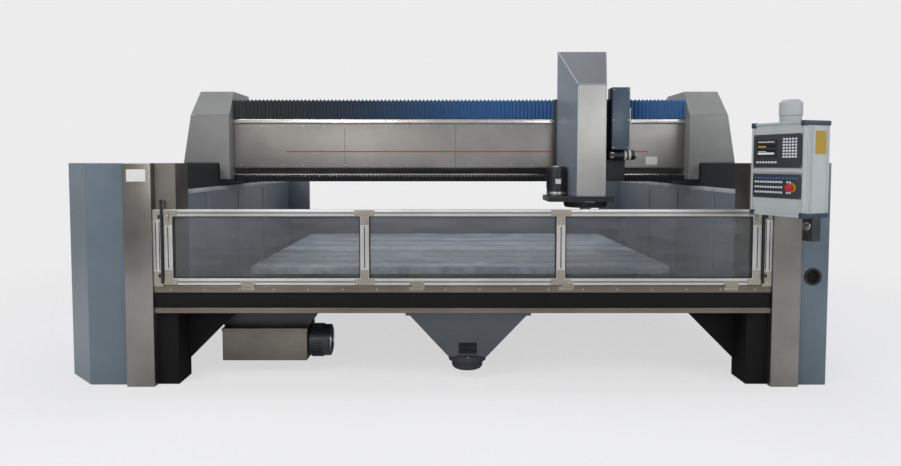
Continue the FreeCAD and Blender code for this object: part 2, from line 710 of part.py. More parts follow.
def control_box():
    where = ("arm_x", "-arm_reach")

    def turned(name, plane, corners, depth, z="0"):
        return profile(name, plane, corners, depth, (*where, z), turn="-box_turn")

    def plate(name, x0, x1, y0, y1, z, height):
        return turned(name, "XY", [(x0, y0), (x1, y0), (x1, y1), (x0, y1)], height, z)

    node(plate("control_box", "-box_w / 2", "box_w / 2", "-box_d / 2", "box_d / 2", "box_z", "box_h"), "control_box")
    faces = [
        plate(f"{name}_face", "-face_w / 2", "face_w / 2", "-box_d / 2 - face_t", "-box_d / 2", f"{name}_face_z",
              f"{name}_face_h")
        for name in ("upper", "lower")
    ]
    node(group("control_faces", *faces), "control_faces")
    side = "-box_w / 2"
    outer = f"{side} - handle_out"
    inner = f"{outer} + handle_bar"
    grip = [
        (side, "handle_z"),
        (outer, "handle_z"),
        (outer, "handle_z + handle_h"),
        (side, "handle_z + handle_h"),
        (side, "handle_z + handle_h - handle_foot"),
        (inner, "handle_z + handle_h - handle_foot"),
        (inner, "handle_z + handle_foot"),
        (side, "handle_z + handle_foot"),
    ]
    node(turned("box_handle", "XZ", grip, "handle_t"), "box_handle")
    node(
        upright("swivel_coupling", "coupling_r", "arm_low + arm_h - joint_h + 15 - slide_gap - box_z - box_h",
                (*where, "box_z + box_h")),
        "swivel_coupling",
    )
    node(
        plate("handwheel_body", "box_w / 2 + wheel_out - wheel_w", "box_w / 2 + wheel_out", "-wheel_d / 2",
              "wheel_d / 2", "box_z - wheel_h", "wheel_h"),
        "handwheel_body",
    )


def check_and_write():
    """Stops on any failed object, then writes each sub-part to its file."""
    doc.recompute()
    failed = [o.Name for o in doc.Objects if "Invalid" in o.State or "Error" in o.State]
    if failed:
        raise SystemExit(f"failed objects: {failed}")
    os.makedirs("parts", exist_ok=True)
    whole = FreeCAD.BoundBox()
    facets = 0
    for item in nodes:
        shape = item.Shape
        if shape.isNull() or not shape.isValid() or not shape.Solids:
            raise SystemExit(f"{item.Label} has no valid solid")
        if abs(sum(s.Volume for s in shape.Solids) - shape.Volume) > 1:
            raise SystemExit(f"{item.Label} has a solid turned inside out")
        shape.exportStep(f"parts/{item.Label}.step")
        whole.add(shape.BoundBox)
        facets += len(shape.tessellate(1.0)[1])
    print(f"{len(nodes)} nodes, {facets} facets")
    print(f"X {whole.XMin:.1f} {whole.XMax:.1f}  Y {whole.YMin:.1f} {whole.YMax:.1f}  Z {whole.ZMin:.1f} {whole.ZMax:.1f}")


side_walls()
supports()
fairings()
basin()
table()
hopper()
pump()
gate()
rails()
wall_bellows()
end_carriages()
legs()
beam()
beam_bellows()
saddle()
head()
control_arm()
control_box()
check_and_write()
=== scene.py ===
"""The finish of a gantry stone engraving machine: painted sheet, brushed stainless, aluminium profile,
smoky glass, folded bellows cloth, membrane keys and the small fittings that they carry.

Places come from the frame's nodes. Lengths are metres, X to the right, Y back, Z up.
"""

import math

import bmesh
import bpy
from mathutils import Matrix, Vector


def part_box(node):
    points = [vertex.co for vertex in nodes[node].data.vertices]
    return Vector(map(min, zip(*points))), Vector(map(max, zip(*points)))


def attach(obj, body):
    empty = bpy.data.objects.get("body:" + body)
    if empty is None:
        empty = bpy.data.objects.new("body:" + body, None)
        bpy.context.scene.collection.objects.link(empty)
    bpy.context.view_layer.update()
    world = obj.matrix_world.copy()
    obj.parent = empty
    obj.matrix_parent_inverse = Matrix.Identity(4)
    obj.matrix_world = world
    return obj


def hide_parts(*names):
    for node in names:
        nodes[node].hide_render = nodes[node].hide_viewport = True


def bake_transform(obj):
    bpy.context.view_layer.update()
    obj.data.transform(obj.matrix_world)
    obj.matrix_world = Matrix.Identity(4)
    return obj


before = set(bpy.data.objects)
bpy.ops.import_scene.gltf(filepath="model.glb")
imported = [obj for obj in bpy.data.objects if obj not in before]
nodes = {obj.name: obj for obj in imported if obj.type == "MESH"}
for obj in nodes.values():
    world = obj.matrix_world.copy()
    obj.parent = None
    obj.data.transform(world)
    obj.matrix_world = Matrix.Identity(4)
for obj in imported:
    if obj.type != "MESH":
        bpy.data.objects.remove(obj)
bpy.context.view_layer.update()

MM = 0.001
# An added plate sinks this far into its face, and a groove's dark strip stands this far proud of it
SINK = 0.001
GROOVE = 0.0006


# Colours and material nodes
def linear(code):
    """A hex sRGB colour as linear red, green, blue and alpha."""
    parts = [int(code[i:i + 2], 16) / 255 for i in (1, 3, 5)]
    return [c / 12.92 if c <= 0.04045 else ((c + 0.055) / 1.055) ** 2.4 for c in parts] + [1.0]


def put(tree, kind, inputs=None, **settings):
    """Adds a node; an input is a value or another node's socket."""
    made = tree.nodes.new(kind)
    for key, value in settings.items():
        setattr(made, key, value)
    for key, value in (inputs or {}).items():
        if isinstance(value, bpy.types.NodeSocket):
            tree.links.new(value, made.inputs[key])
        else:
            made.inputs[key].default_value = value
    return made


def blank(name):
    """A material with a principled shader; returns it, its tree, the shader and the object coordinates."""
    material = bpy.data.materials.new(name)
    material.use_nodes = True
    tree = material.node_tree
    shader = tree.nodes["Principled BSDF"]
    where = put(tree, "ShaderNodeTexCoord").outputs["Object"]
    return material, tree, shader, where


def ramp(tree, source, stops):
    """A colour ramp from (place, hex) stops."""
    made = put(tree, "ShaderNodeValToRGB", {"Fac": source})
    steps = made.color_ramp.elements
    while len(steps) < len(stops):
        steps.new(0.5)
    for step, (place, code) in zip(steps, stops):
        step.position = place
        step.color = linear(code)
    return made.outputs["Color"]


def painted(name, dark, pale, rough=0.42, patch=1.6, peel=0.02, coat=0.25, dust=None, shine=0.5):
    """Sprayed two-pack paint on sheet: slow shifts of tone, an orange-peel skin and a thin gloss coat."""
    material, tree, shader, where = blank(name)
    drift = put(tree, "ShaderNodeTexNoise",
                {"Vector": where, "Scale": patch, "Detail": 6.0, "Roughness": 0.62})
    tone = ramp(tree, drift.outputs["Fac"], [(0.3, dark), (0.72, pale)])
    if dust:
        # Stone slurry splashes, 20 to 60 mm across, dried in runs
        runs = put(tree, "ShaderNodeMapping", {"Vector": where, "Scale": (9.0, 9.0, 3.0)})
        spots = put(tree, "ShaderNodeTexNoise",
                    {"Vector": runs.outputs["Vector"], "Scale": 2.4, "Detail": 10.0,
                     "Roughness": 0.72})
        mask = put(tree, "ShaderNodeMapRange",
                   {"Value": spots.outputs["Fac"], "From Min": 0.58, "From Max": 0.80,
                    "To Max": 0.35})
        tone = put(tree, "ShaderNodeMix", {"Factor": mask.outputs["Result"], "A": tone, "B": linear(dust)},
                   data_type="RGBA").outputs[2]
    tree.links.new(tone, shader.inputs["Base Color"])
    gloss = put(tree, "ShaderNodeMapRange", {"Value": drift.outputs["Fac"], "To Min": rough - 0.07,
                                             "To Max": rough + 0.1})
    tree.links.new(gloss.outputs["Result"], shader.inputs["Roughness"])
    # Orange peel of about 4 mm, coarser than the real 2 mm so that it shows
    skin = put(tree, "ShaderNodeTexNoise", {"Vector": where, "Scale": 250.0, "Detail": 2.0})
    bump = put(tree, "ShaderNodeBump",
               {"Height": skin.outputs["Fac"], "Strength": 0.12, "Distance": peel * MM * 10})
    tree.links.new(bump.outputs["Normal"], shader.inputs["Normal"])
    shader.inputs["Coat Weight"].default_value = coat
    shader.inputs["Coat Roughness"].default_value = 0.22
    shader.inputs["Specular IOR Level"].default_value = shine
    return material


def brushed(name, dark, pale, grain, rough=0.34, smear=0.12):
    """Metal sheet brushed one way: fine lines across the grain axis, with soft fingered smears."""
    material, tree, shader, where = blank(name)
    # The grain lines are about 3 mm wide, coarser than the real ones so that they show
    lines = put(tree, "ShaderNodeMapping", {"Vector": where, "Scale": grain})
    streak = put(tree, "ShaderNodeTexNoise", {"Vector": lines.outputs["Vector"], "Scale": 1.0, "Detail": 4.0,
                                              "Roughness": 0.6})
    cloud = put(tree, "ShaderNodeTexNoise", {"Vector": where, "Scale": 2.2, "Detail": 4.0})
    both = put(tree, "ShaderNodeMix", {"Factor": 0.78, "A": streak.outputs["Fac"], "B": cloud.outputs["Fac"]},
               data_type="FLOAT")
    tone = ramp(tree, both.outputs[0], [(0.3, dark), (0.7, pale)])
    tree.links.new(tone, shader.inputs["Base Color"])
    gloss = put(tree, "ShaderNodeMapRange",
                {"Value": both.outputs[0], "To Min": rough - smear, "To Max": rough + smear})
    tree.links.new(gloss.outputs["Result"], shader.inputs["Roughness"])
    bump = put(tree, "ShaderNodeBump",
               {"Height": streak.outputs["Fac"], "Strength": 0.035, "Distance": 0.001})
    tree.links.new(bump.outputs["Normal"], shader.inputs["Normal"])
    shader.inputs["Metallic"].default_value = 1.0
    shader.inputs["Anisotropic"].default_value = 0.5
    return material


def plain(name, dark, pale, rough=0.5, metal=0.0, grit=400.0, lift=0.05, sheen=0.0):
    """A moulded, cast or woven surface with a fine grit."""
    material, tree, shader, where = blank(name)
    speck = put(tree, "ShaderNodeTexNoise", {"Vector": where, "Scale": grit, "Detail": 3.0, "Roughness": 0.6})
    drift = put(tree, "ShaderNodeTexNoise", {"Vector": where, "Scale": 5.0, "Detail": 3.0})
    both = put(tree, "ShaderNodeMix", {"Factor": 0.6, "A": speck.outputs["Fac"], "B": drift.outputs["Fac"]},
               data_type="FLOAT")
    tone = ramp(tree, both.outputs[0], [(0.32, dark), (0.68, pale)])
    tree.links.new(tone, shader.inputs["Base Color"])
    bump = put(tree, "ShaderNodeBump",
               {"Height": speck.outputs["Fac"], "Strength": lift * 3, "Distance": 0.001})
    tree.links.new(bump.outputs["Normal"], shader.inputs["Normal"])
    shader.inputs["Roughness"].default_value = rough
    shader.inputs["Metallic"].default_value = metal
    shader.inputs["Sheen Weight"].default_value = sheen
    return material


def bellows_cloth_painted_light():
    """Coated cloth with painted light: near black at the left end of the beam and lit blue towards the right,
    as in the photo.
    """
    material, tree, shader, where = blank("bellows cloth coated painted light")
    # Painted light: the tone follows X, near black at the left and lit blue at the right
    along = put(tree, "ShaderNodeSeparateXYZ", {"Vector": where}).outputs["X"]
    patches = put(tree, "ShaderNodeTexNoise", {"Vector": where, "Scale": 2.0, "Detail": 4.0})
    painted_light_along = put(tree, "ShaderNodeMath", {0: patches.outputs["Fac"], 1: 0.9, 2: along},
                 operation="MULTIPLY_ADD")
    share = put(tree, "ShaderNodeMapRange", {"Value": painted_light_along.outputs[0], "From Min": -1.1, "From Max": 0.9})
    tone = ramp(tree, share.outputs["Result"], [(0.0, "#0c1116"), (0.45, "#14283c"), (1.0, "#22588c")])
    tree.links.new(tone, shader.inputs["Base Color"])
    weave = put(tree, "ShaderNodeTexNoise", {"Vector": where, "Scale": 900.0, "Detail": 2.0})
    bump = put(tree, "ShaderNodeBump", {"Height": weave.outputs["Fac"], "Strength": 0.12, "Distance": 0.001})
    tree.links.new(bump.outputs["Normal"], shader.inputs["Normal"])
    shader.inputs["Roughness"].default_value = 0.5
    shader.inputs["Sheen Weight"].default_value = 0.3
    return material


def smoky_glass():
    """Clear acrylic sheet with a brown-grey tint and faint wipe marks."""
    material, tree, shader, where = blank("acrylic smoky sheet")
    wipe = put(tree, "ShaderNodeMapping",
               {"Vector": where, "Scale": (3.0, 3.0, 12.0), "Rotation": (0, 0.5, 0)})
    marks = put(tree, "ShaderNodeTexNoise", {"Vector": wipe.outputs["Vector"], "Scale": 1.5, "Detail": 6.0})
    gloss = put(tree, "ShaderNodeMapRange", {"Value": marks.outputs["Fac"], "To Min": 0.03, "To Max": 0.16})
    tree.links.new(gloss.outputs["Result"], shader.inputs["Roughness"])
    veil = put(tree, "ShaderNodeMapRange", {"Value": marks.outputs["Fac"], "From Min": 0.35, "From Max": 0.7,
                                            "To Min": 0.10, "To Max": 0.18})
    tree.links.new(veil.outputs["Result"], shader.inputs["Alpha"])
    shader.inputs["Base Color"].default_value = linear("#8b8c8d")
    shader.inputs["IOR"].default_value = 1.49
    return material


PLANKS = 13


def worn_table():
    """Painted steel planks, each its own tone: scratched along X by slabs, with pale dried slurry."""
    material, tree, shader, where = blank("scoured deck paint")
    low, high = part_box("work_table")
    depth = put(tree, "ShaderNodeSeparateXYZ", {"Vector": where}).outputs["Y"]
    row = put(tree, "ShaderNodeMapRange", {"Value": depth, "From Min": low.y, "From Max": high.y,
                                           "To Max": float(PLANKS)})
    number = put(tree, "ShaderNodeMath", {0: row.outputs["Result"]}, operation="FLOOR")
    shade = put(tree, "ShaderNodeTexWhiteNoise", {"W": number.outputs[0]}, noise_dimensions="1D")
    # Scratches about 12 mm apart, coarser than the real ones so that they show
    drag = put(tree, "ShaderNodeMapping", {"Vector": where, "Scale": (1.6, 30.0, 1.0)})
    scratch = put(tree, "ShaderNodeTexNoise", {"Vector": drag.outputs["Vector"], "Scale": 2.6, "Detail": 6.0,
                                               "Roughness": 0.7})
    mixed = put(tree, "ShaderNodeMix",
                {"Factor": 0.32, "A": scratch.outputs["Fac"], "B": shade.outputs["Value"]},
                data_type="FLOAT")
    paint_tone = ramp(tree, mixed.outputs[0], [(0.25, "#4b555e"), (0.5, "#6a7681"), (0.75, "#8b97a0")])
    pool = put(tree, "ShaderNodeMapping", {"Vector": where, "Scale": (1.0, 1.7, 1.0)})
    dried = put(tree, "ShaderNodeTexNoise", {"Vector": pool.outputs["Vector"], "Scale": 2.4, "Detail": 12.0,
                                             "Roughness": 0.74})
    cover = put(tree, "ShaderNodeMapRange",
                {"Value": dried.outputs["Fac"], "From Min": 0.48, "From Max": 0.74,
                 "To Max": 0.8})
    tone = put(tree, "ShaderNodeMix",
               {"Factor": cover.outputs["Result"], "A": paint_tone, "B": linear("#cdd4d9")},
               data_type="RGBA")
    tree.links.new(tone.outputs[2], shader.inputs["Base Color"])
    wet = put(tree, "ShaderNodeMapRange", {"Value": dried.outputs["Fac"], "From Min": 0.3, "From Max": 0.66,
                                           "To Min": 0.16, "To Max": 0.7})
    tree.links.new(wet.outputs["Result"], shader.inputs["Roughness"])
    bump = put(tree, "ShaderNodeBump",
               {"Height": scratch.outputs["Fac"], "Strength": 0.15, "Distance": 0.003})
    tree.links.new(bump.outputs["Normal"], shader.inputs["Normal"])
    return material


def screen_glow():
    """A lit display: dark ground with soft level bands, and no lettering."""
    material, tree, shader, where = blank("display glass")
    bands = put(tree, "ShaderNodeTexWave", {"Vector": where, "Scale": 9.0, "Distortion": 0.0},
                wave_type="BANDS", bands_direction="Z")
    tone = ramp(tree, bands.outputs["Fac"], [(0.0, "#171b20"), (0.9, "#20262c"), (1.0, "#3c464f")])
    tree.links.new(tone, shader.inputs["Base Color"])
    shader.inputs["Roughness"].default_value = 0.12
    shader.inputs["Coat Weight"].default_value = 0.6
    return material


# The name of each material says what the real one is and how its surface was made
FINISHES = {
    # blue-grey enamel on the outer cabinets, satin and even
    "cabinet": painted("enamel blue-grey sprayed", "#4d5a64", "#5e6b75", rough=0.40),
    # a paler grey on the outer covers, clean and even
    "outer": painted("enamel mid grey sprayed clean", "#656e78", "#707983", rough=0.42, patch=0.6),
    # mid grey paint of the inner walls, with dried slurry
    "wall": painted("enamel mid grey sprayed", "#525962", "#69717a", rough=0.45, dust="#9aa0a5"),
    # dark painted basin, nearly black where it stays wet
    "basin": painted("enamel dark grey wet", "#181b1f", "#282d33", rough=0.3, dust="#5d6368"),
    # pale speckled ledge along each wall top
    "ledge": plain("zinc primer speckled", "#8f9398", "#c3c6ca", rough=0.6, grit=120.0, lift=0.08),
    # brushed stainless, upright grain: colour streaks run up and down
    "trim": brushed("stainless sheet brushed upright", "#7a7771", "#989590", (320.0, 320.0, 3.0)),
    # brushed stainless, level grain
    "panel": brushed("stainless sheet brushed level", "#72706c", "#918e89", (3.0, 320.0, 320.0), rough=0.38),
    "sill": brushed("stainless sill brushed level", "#676057", "#7f786d", (3.0, 320.0, 320.0)),
    "strip": brushed("steel rail ground", "#a8a6a2", "#cfcdc9", (3.0, 500.0, 500.0), rough=0.25),
    # stainless column ends, duller
    "column": brushed("stainless sheet dull", "#53504c", "#6e6b66", (260.0, 260.0, 3.0), rough=0.45),
    "pump": brushed("stainless box brushed", "#5e5a54", "#807b73", (4.0, 260.0, 260.0), rough=0.36),
    # satin aluminium extrusion, extruded lines run along it
    "profile": brushed("aluminium profile anodised", "#b4b3b0", "#d2d1ce", (60.0, 300.0, 60.0), rough=0.42),
    # die-cast zinc brackets, grainy beige-grey
    "bracket": plain("zinc bracket die-cast", "#7f7a70", "#9c9688", rough=0.5, metal=0.3, grit=300.0),
    "leg": painted("enamel warm grey sprayed", "#727371", "#858683", rough=0.4),
    "head_side": painted("enamel light blue-grey sprayed", "#6d757e", "#868d95", rough=0.36, patch=1.1),
    "head_top": painted("enamel slate sprayed", "#3a4046", "#454b52", rough=0.5, coat=0.05),
    "head_front": brushed("stainless front brushed upright", "#999996", "#b8b7b3", (300.0, 300.0, 3.0),
                          rough=0.42),
    # black primer, darkened and dulled further as painted shade, inside the recess under the sill and on the
    # braces; on the columns' faces below the sill it is painted shade only
    "primer": painted("primer black painted shade", "#070707", "#100f0f", rough=0.75, coat=0.0, shine=0.2),
    "black": painted("enamel black sprayed", "#15171a", "#24272b", rough=0.42, coat=0.1),
    # the carriages, blue-black and duller than the fittings
    "carriage": painted("enamel blue-black sprayed", "#0d1118", "#171c25", rough=0.55, coat=0.0, shine=0.3),
    "navy": painted("enamel navy sprayed", "#1c3448", "#28455e", rough=0.36),
    "hopper": painted("enamel charcoal sprayed", "#383c42", "#464b52", rough=0.45),
    "iron": plain("iron casting dull", "#2a2b2d", "#3c3d3f", rough=0.6, metal=0.5, grit=200.0, lift=0.12),
    # coated polyester bellows cloth with a faint sheen, and painted light: its tone runs from near black at
    # the left to lit blue at the right
    "cloth": bellows_cloth_painted_light(),
    "cloth_black": plain("bellows cloth black coated", "#090b0e", "#14181d", rough=0.7, grit=900.0,
                         lift=0.04),
    # near-black disc inside the cable port, painted shade deep in the hole
    "hole": plain("black painted shade of a hole", "#040404", "#080808", rough=0.95),
    "rubber": plain("rubber moulded", "#0e0f10", "#1c1d1f", rough=0.7, grit=500.0),
    "box": painted("enamel pale grey textured", "#9da2a3", "#b0b5b5", rough=0.5, peel=0.05, coat=0.1),
    "corner": plain("nylon corner moulded navy", "#222d3d", "#2f3d50", rough=0.45),
    "membrane": plain("polyester membrane dark", "#262a2f", "#33383e", rough=0.38, grit=700.0, lift=0.02),
    "key": plain("polyester key pale", "#c9cdd0", "#e1e4e6", rough=0.45),
    "key_blue": plain("polyester key blue", "#2c5b91", "#3a6ea8", rough=0.45),
    "red": plain("nylon red moulded", "#b41720", "#d2242b", rough=0.35, grit=200.0, lift=0.02),
    "yellow": plain("vinyl yellow film", "#94790d", "#ab8d16", rough=0.5, grit=200.0, lift=0.02),
    "plate": plain("vinyl white film", "#c2c2bf", "#d6d6d3", rough=0.5, grit=150.0, lift=0.02),
    "line": plain("vinyl red film", "#8c2f33", "#a83a3e", rough=0.5, grit=150.0, lift=0.02),
    "steel": plain("steel screw plated", "#8f8f8d", "#b9b9b6", rough=0.32, metal=1.0, grit=300.0, lift=0.02),
    "glass": smoky_glass(),
    "deck": worn_table(),
    "screen": screen_glow(),
}


# Making meshes
def block(bm, low, high):
    """A closed box between two corners."""
    size = Vector(high) - Vector(low)
    middle = (Vector(high) + Vector(low)) / 2
    matrix = Matrix.Translation(middle) @ Matrix.Diagonal((*size, 1))
    return bmesh.ops.create_cube(bm, size=1.0, matrix=matrix)["verts"]


def rod(bm, start, end, radius, sides=32, end_radius=None):
    """A closed round bar or cone from start to end."""
    start, end = Vector(start), Vector(end)
    along = end - start
    matrix = Matrix.Translation((start + end) / 2) @ along.to_track_quat("Z", "Y").to_matrix().to_4x4()
    far = radius if end_radius is None else end_radius
    return bmesh.ops.create_cone(bm, cap_ends=True, segments=sides, radius1=radius, radius2=far,
                                 depth=along.length, matrix=matrix)["verts"]


def ring(bm, centre, axis, radius, thick, steps=40, sides=12):
    """A closed round ring about an axis."""
    centre = Vector(centre)
    turn = Vector(axis).to_track_quat("Z", "Y").to_matrix()
    rows = []
    for i in range(steps):
        a = 2 * math.pi * i / steps
        out = Vector((math.cos(a), math.sin(a), 0))
        row = []
        for k in range(sides):
            b = 2 * math.pi * k / sides
            row.append(bm.verts.new(centre + turn @ (out * (radius + thick * math.cos(b))
                                                     + Vector((0, 0, thick * math.sin(b))))))
        rows.append(row)
    for i in range(steps):
        for k in range(sides):
            j, m = (i + 1) % steps, (k + 1) % sides
            bm.faces.new((rows[i][k], rows[j][k], rows[j][m], rows[i][m]))


def prism(bm, outline, low, high, axis=2):
    """A closed prism: an outline of points in the plane across the axis, from low to high along it."""
    def at(point, level):
        values = list(point)
        values.insert(axis, level)
        return bm.verts.new(values)

    bottom = [at(p, low) for p in outline]
    top = [at(p, high) for p in outline]
    bm.faces.new(bottom)
    bm.faces.new(top)
    for i in range(len(outline)):
        j = (i + 1) % len(outline)
        bm.faces.new((bottom[i], bottom[j], top[j], top[i]))


def close_up(bm):
    """Faces outwards."""
    bmesh.ops.recalc_face_normals(bm, faces=bm.faces)


def object_from(bm, name, finish, body, bevel=0.0, steps=2, smooth=False, matrix=None):
    """Turns a bmesh into a piece that rides on a body."""
    close_up(bm)
    if bevel:
        sharp = [e for e in bm.edges if len(e.link_faces) == 2 and e.calc_face_angle(0) > math.radians(28)]
        bmesh.ops.bevel(bm, geom=sharp, offset=bevel, segments=steps, profile=0.6, affect="EDGES",
                        clamp_overlap=True)
    if matrix is not None:
        bmesh.ops.transform(bm, matrix=matrix, verts=bm.verts)
    mesh = bpy.data.meshes.new(name)
    bm.to_mesh(mesh)
    bm.free()
    mesh.materials.append(FINISHES[finish])
    made = bpy.data.objects.new(name, mesh)
    bpy.context.scene.collection.objects.link(made)
    if smooth or bevel:
        mesh.shade_smooth()
        mesh.set_sharp_from_angle(angle=math.radians(32))
    if body:
        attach(made, body)
    return made


def dressed(node, finish, body, bevel=0.003, steps=2, name=None):
    """A node's own shape with its edges rounded as folded sheet or machined metal is."""
    bm = bmesh.new()
    bm.from_mesh(nodes[node].data)
    bmesh.ops.remove_doubles(bm, verts=bm.verts, dist=0.00001)
    bmesh.ops.dissolve_limit(bm, angle_limit=math.radians(1), verts=bm.verts, edges=bm.edges)
    made = object_from(bm, name or f"{node}_skin", finish, body, bevel, steps)
    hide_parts(node)
    return made


def paint(node, *finishes):
    """Gives a node's own mesh its material."""
    data = nodes[node].data
    data.materials.clear()
    for finish in finishes:
        data.materials.append(FINISHES[finish])


def paint_shade_below(made, level, outward):
    """Cuts a column's mesh at a level and gives its front and inner faces under it the black primer finish as
    painted shade.
    """
    bm = bmesh.new()
    bm.from_mesh(made.data)
    bmesh.ops.bisect_plane(bm, geom=[*bm.verts, *bm.edges, *bm.faces], plane_co=(0, 0, level),
                           plane_no=(0, 0, 1))
    made.data.materials.append(FINISHES["primer"])
    for face in bm.faces:
        if face.calc_center_median().z < level and face.normal.x * outward < 0.5 and face.normal.y < 0.5:
            face.material_index = 1
    bm.to_mesh(made.data)
    bm.free()


def cover_plate(bm, face, sign, span, heights, axis):
    """A thin plate on an upright face across an axis; returns the places of its screws."""
    out, inset, apart = 0.0025, 0.03, 0.42
    near, far = sorted((face - sign * 0.001, face + sign * out))
    at = [near, span[0], heights[0]], [far, span[1], heights[1]]
    low, high = [(v[1], v[0], v[2]) if axis == "Y" else tuple(v) for v in at]
    block(bm, low, high)
    along = spaced(span[0] + inset, span[1] - inset, max(2, round((span[1] - span[0]) / apart) + 1))
    upward = spaced(heights[0] + inset, heights[1] - inset,
                    max(2, round((heights[1] - heights[0]) / apart) + 1))
    edge = [(a, z) for a in along for z in (upward[0], upward[-1])]
    edge += [(a, z) for a in (along[0], along[-1]) for z in upward[1:-1]]
    skin = face + sign * out
    return [(a, skin, z) if axis == "Y" else (skin, a, z) for a, z in edge]


def middle_of(node):
    low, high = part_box(node)
    return (low + high) / 2


# What repeats: one tree that puts a small fitting at each point
def fitting_tree(name, build):
    """A Geometry Nodes tree that instances a fitting on points and realises it."""
    tree = bpy.data.node_groups.new(name, "GeometryNodeTree")
    tree.interface.new_socket("Geometry", in_out="INPUT", socket_type="NodeSocketGeometry")
    for label, start in (("Radius", 0.006), ("Height", 0.004), ("Length", 0.01)):
        socket = tree.interface.new_socket(label, in_out="INPUT", socket_type="NodeSocketFloat")
        socket.default_value = start
    tree.interface.new_socket("Direction", in_out="INPUT", socket_type="NodeSocketVector")
    tree.interface.new_socket("Material", in_out="INPUT", socket_type="NodeSocketMaterial")
    tree.interface.new_socket("Geometry", in_out="OUTPUT", socket_type="NodeSocketGeometry")
    given = put(tree, "NodeGroupInput")
    fitting = build(tree, given)
    turn = put(tree, "FunctionNodeAlignRotationToVector", {"Vector": given.outputs["Direction"]}, axis="Z")
    spread = put(tree, "GeometryNodeInstanceOnPoints",
                 {"Points": given.outputs["Geometry"], "Instance": fitting, "Rotation": turn.outputs[0]})
    real = put(tree, "GeometryNodeRealizeInstances", {"Geometry": spread.outputs[0]})
    coloured = put(tree, "GeometryNodeSetMaterial",
                   {"Geometry": real.outputs[0], "Material": given.outputs["Material"]})
    put(tree, "NodeGroupOutput", {"Geometry": coloured.outputs[0]})
    return tree


def screw_head(tree, given):
    """A pan head with a raised rim: a low cylinder under a smaller one."""
    rim = put(tree, "GeometryNodeMeshCylinder",
              {"Vertices": 12, "Radius": given.outputs["Radius"], "Depth": given.outputs["Height"]})
    small = put(tree, "ShaderNodeMath", {0: given.outputs["Radius"], 1: 0.62}, operation="MULTIPLY")
    tall = put(tree, "ShaderNodeMath", {0: given.outputs["Height"], 1: 1.7}, operation="MULTIPLY")
    crown = put(tree, "GeometryNodeMeshCylinder",
                {"Vertices": 6, "Radius": small.outputs[0], "Depth": tall.outputs[0]})
    both = put(tree, "GeometryNodeJoinGeometry")
    tree.links.new(rim.outputs["Mesh"], both.inputs[0])
    tree.links.new(crown.outputs["Mesh"], both.inputs[0])
    return both.outputs[0]


def key_cap(tree, given):
    """A flat key: length across, radius up and height out."""
    size = put(tree, "ShaderNodeCombineXYZ", {"X": given.outputs["Length"], "Y": given.outputs["Radius"],
                                              "Z": given.outputs["Height"]})
    return put(tree, "GeometryNodeMeshCube", {"Size": size.outputs[0]}).outputs["Mesh"]


def bristle(tree, given):
    """A thin tapering bristle."""
    return put(tree, "GeometryNodeMeshCone",
               {"Vertices": 5, "Radius Top": 0.0006, "Radius Bottom": given.outputs["Radius"],
                "Depth": given.outputs["Height"]}).outputs["Mesh"]


TREES = {"screw": fitting_tree("screw heads", screw_head), "key": fitting_tree("flat keys", key_cap),
         "bristle": fitting_tree("brush bristles", bristle)}


def scatter(kind, name, points, direction, finish, body, radius, height, length=0.01, matrix=None):
    """Fittings at points, made one plain mesh that rides on a body."""
    mesh = bpy.data.meshes.new(f"{name}_points")
    mesh.from_pydata([tuple(p) for p in points], [], [])
    holder = bpy.data.objects.new(f"{name}_points", mesh)
    bpy.context.scene.collection.objects.link(holder)
    modifier = holder.modifiers.new("fittings", "NODES")
    modifier.node_group = TREES[kind]
    values = {"Radius": radius, "Height": height, "Length": length, "Direction": direction,
              "Material": FINISHES[finish]}
    for item in TREES[kind].interface.items_tree:
        if item.in_out == "INPUT" and item.name in values:
            modifier[item.identifier] = values[item.name]
    bpy.context.view_layer.update()
    evaluated = holder.evaluated_get(bpy.context.evaluated_depsgraph_get())
    result = bpy.data.meshes.new_from_object(evaluated)
    holder.modifiers.clear()
    bpy.data.objects.remove(holder)
    if matrix is not None:
        result.transform(matrix)
    result.name = name
    made = bpy.data.objects.new(name, result)
    bpy.context.scene.collection.objects.link(made)
    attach(made, body)
    return made


def spaced(start, end, count):
    """Evenly spaced numbers, both ends included."""
    return [start + (end - start) * i / (count - 1) for i in range(count)]


# Bed
def bed_sheets():
    """Columns, walls, cabinets and trims: folded sheet with rounded folds."""
    for side in ("left", "right"):
        dressed(f"{side}_column_trim", "trim", "bed", 0.006, 3)
        column = dressed(f"{side}_front_column", "column", "bed", 0.004)
        # The column's front and inner faces below the sill get near-black primer as painted shade
        paint_shade_below(column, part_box("front_beam")[1].z, 1 if side == "right" else -1)
        dressed(f"{side}_side_wall", "wall", "bed", 0.006, 3)
    dressed("left_cabinet", "cabinet", "bed", 0.010, 4)
    dressed("right_fairing", "cabinet", "bed", 0.003)
    dressed("rear_wall", "wall", "bed", 0.004)
    dressed("rear_corner_panels", "wall", "bed", 0.004)
    dressed("front_lip", "sill", "bed", 0.003)
    dressed("front_sill", "sill", "bed", 0.004, 3)
    # Near-black primer in the recess under the sill, darkened as painted shade
    dressed("front_beam", "primer", "bed", 0.003)
    dressed("table_bearers", "basin", "bed", 0.003)
    dressed("drain_hopper", "hopper", "bed", 0.002)
    dressed("hopper_outlet", "iron", "bed", 0.003)
    dressed("pump_box", "pump", "bed", 0.006, 3)
    dressed("pump_bracket", "black", "bed", 0.001)
    dressed("pump_motor", "black", "bed", 0.012, 4)
    dressed("control_arm", "box", "bed", 0.006, 3)
    dressed("levelling_feet", "iron", "bed", 0.004)
    dressed("rear_pedestals", "wall", "bed", 0.005, 3)
    # Near-black primer on the braces, darkened as painted shade
    dressed("corner_braces", "primer", "bed", 0.003)
    paint("basin_floor", "basin")
    dressed("wall_rails", "strip", "bed", 0.004)
    paint("sill_hinge_leaves", "bracket")
    dressed("gate_posts", "profile", "bed", 0.003)


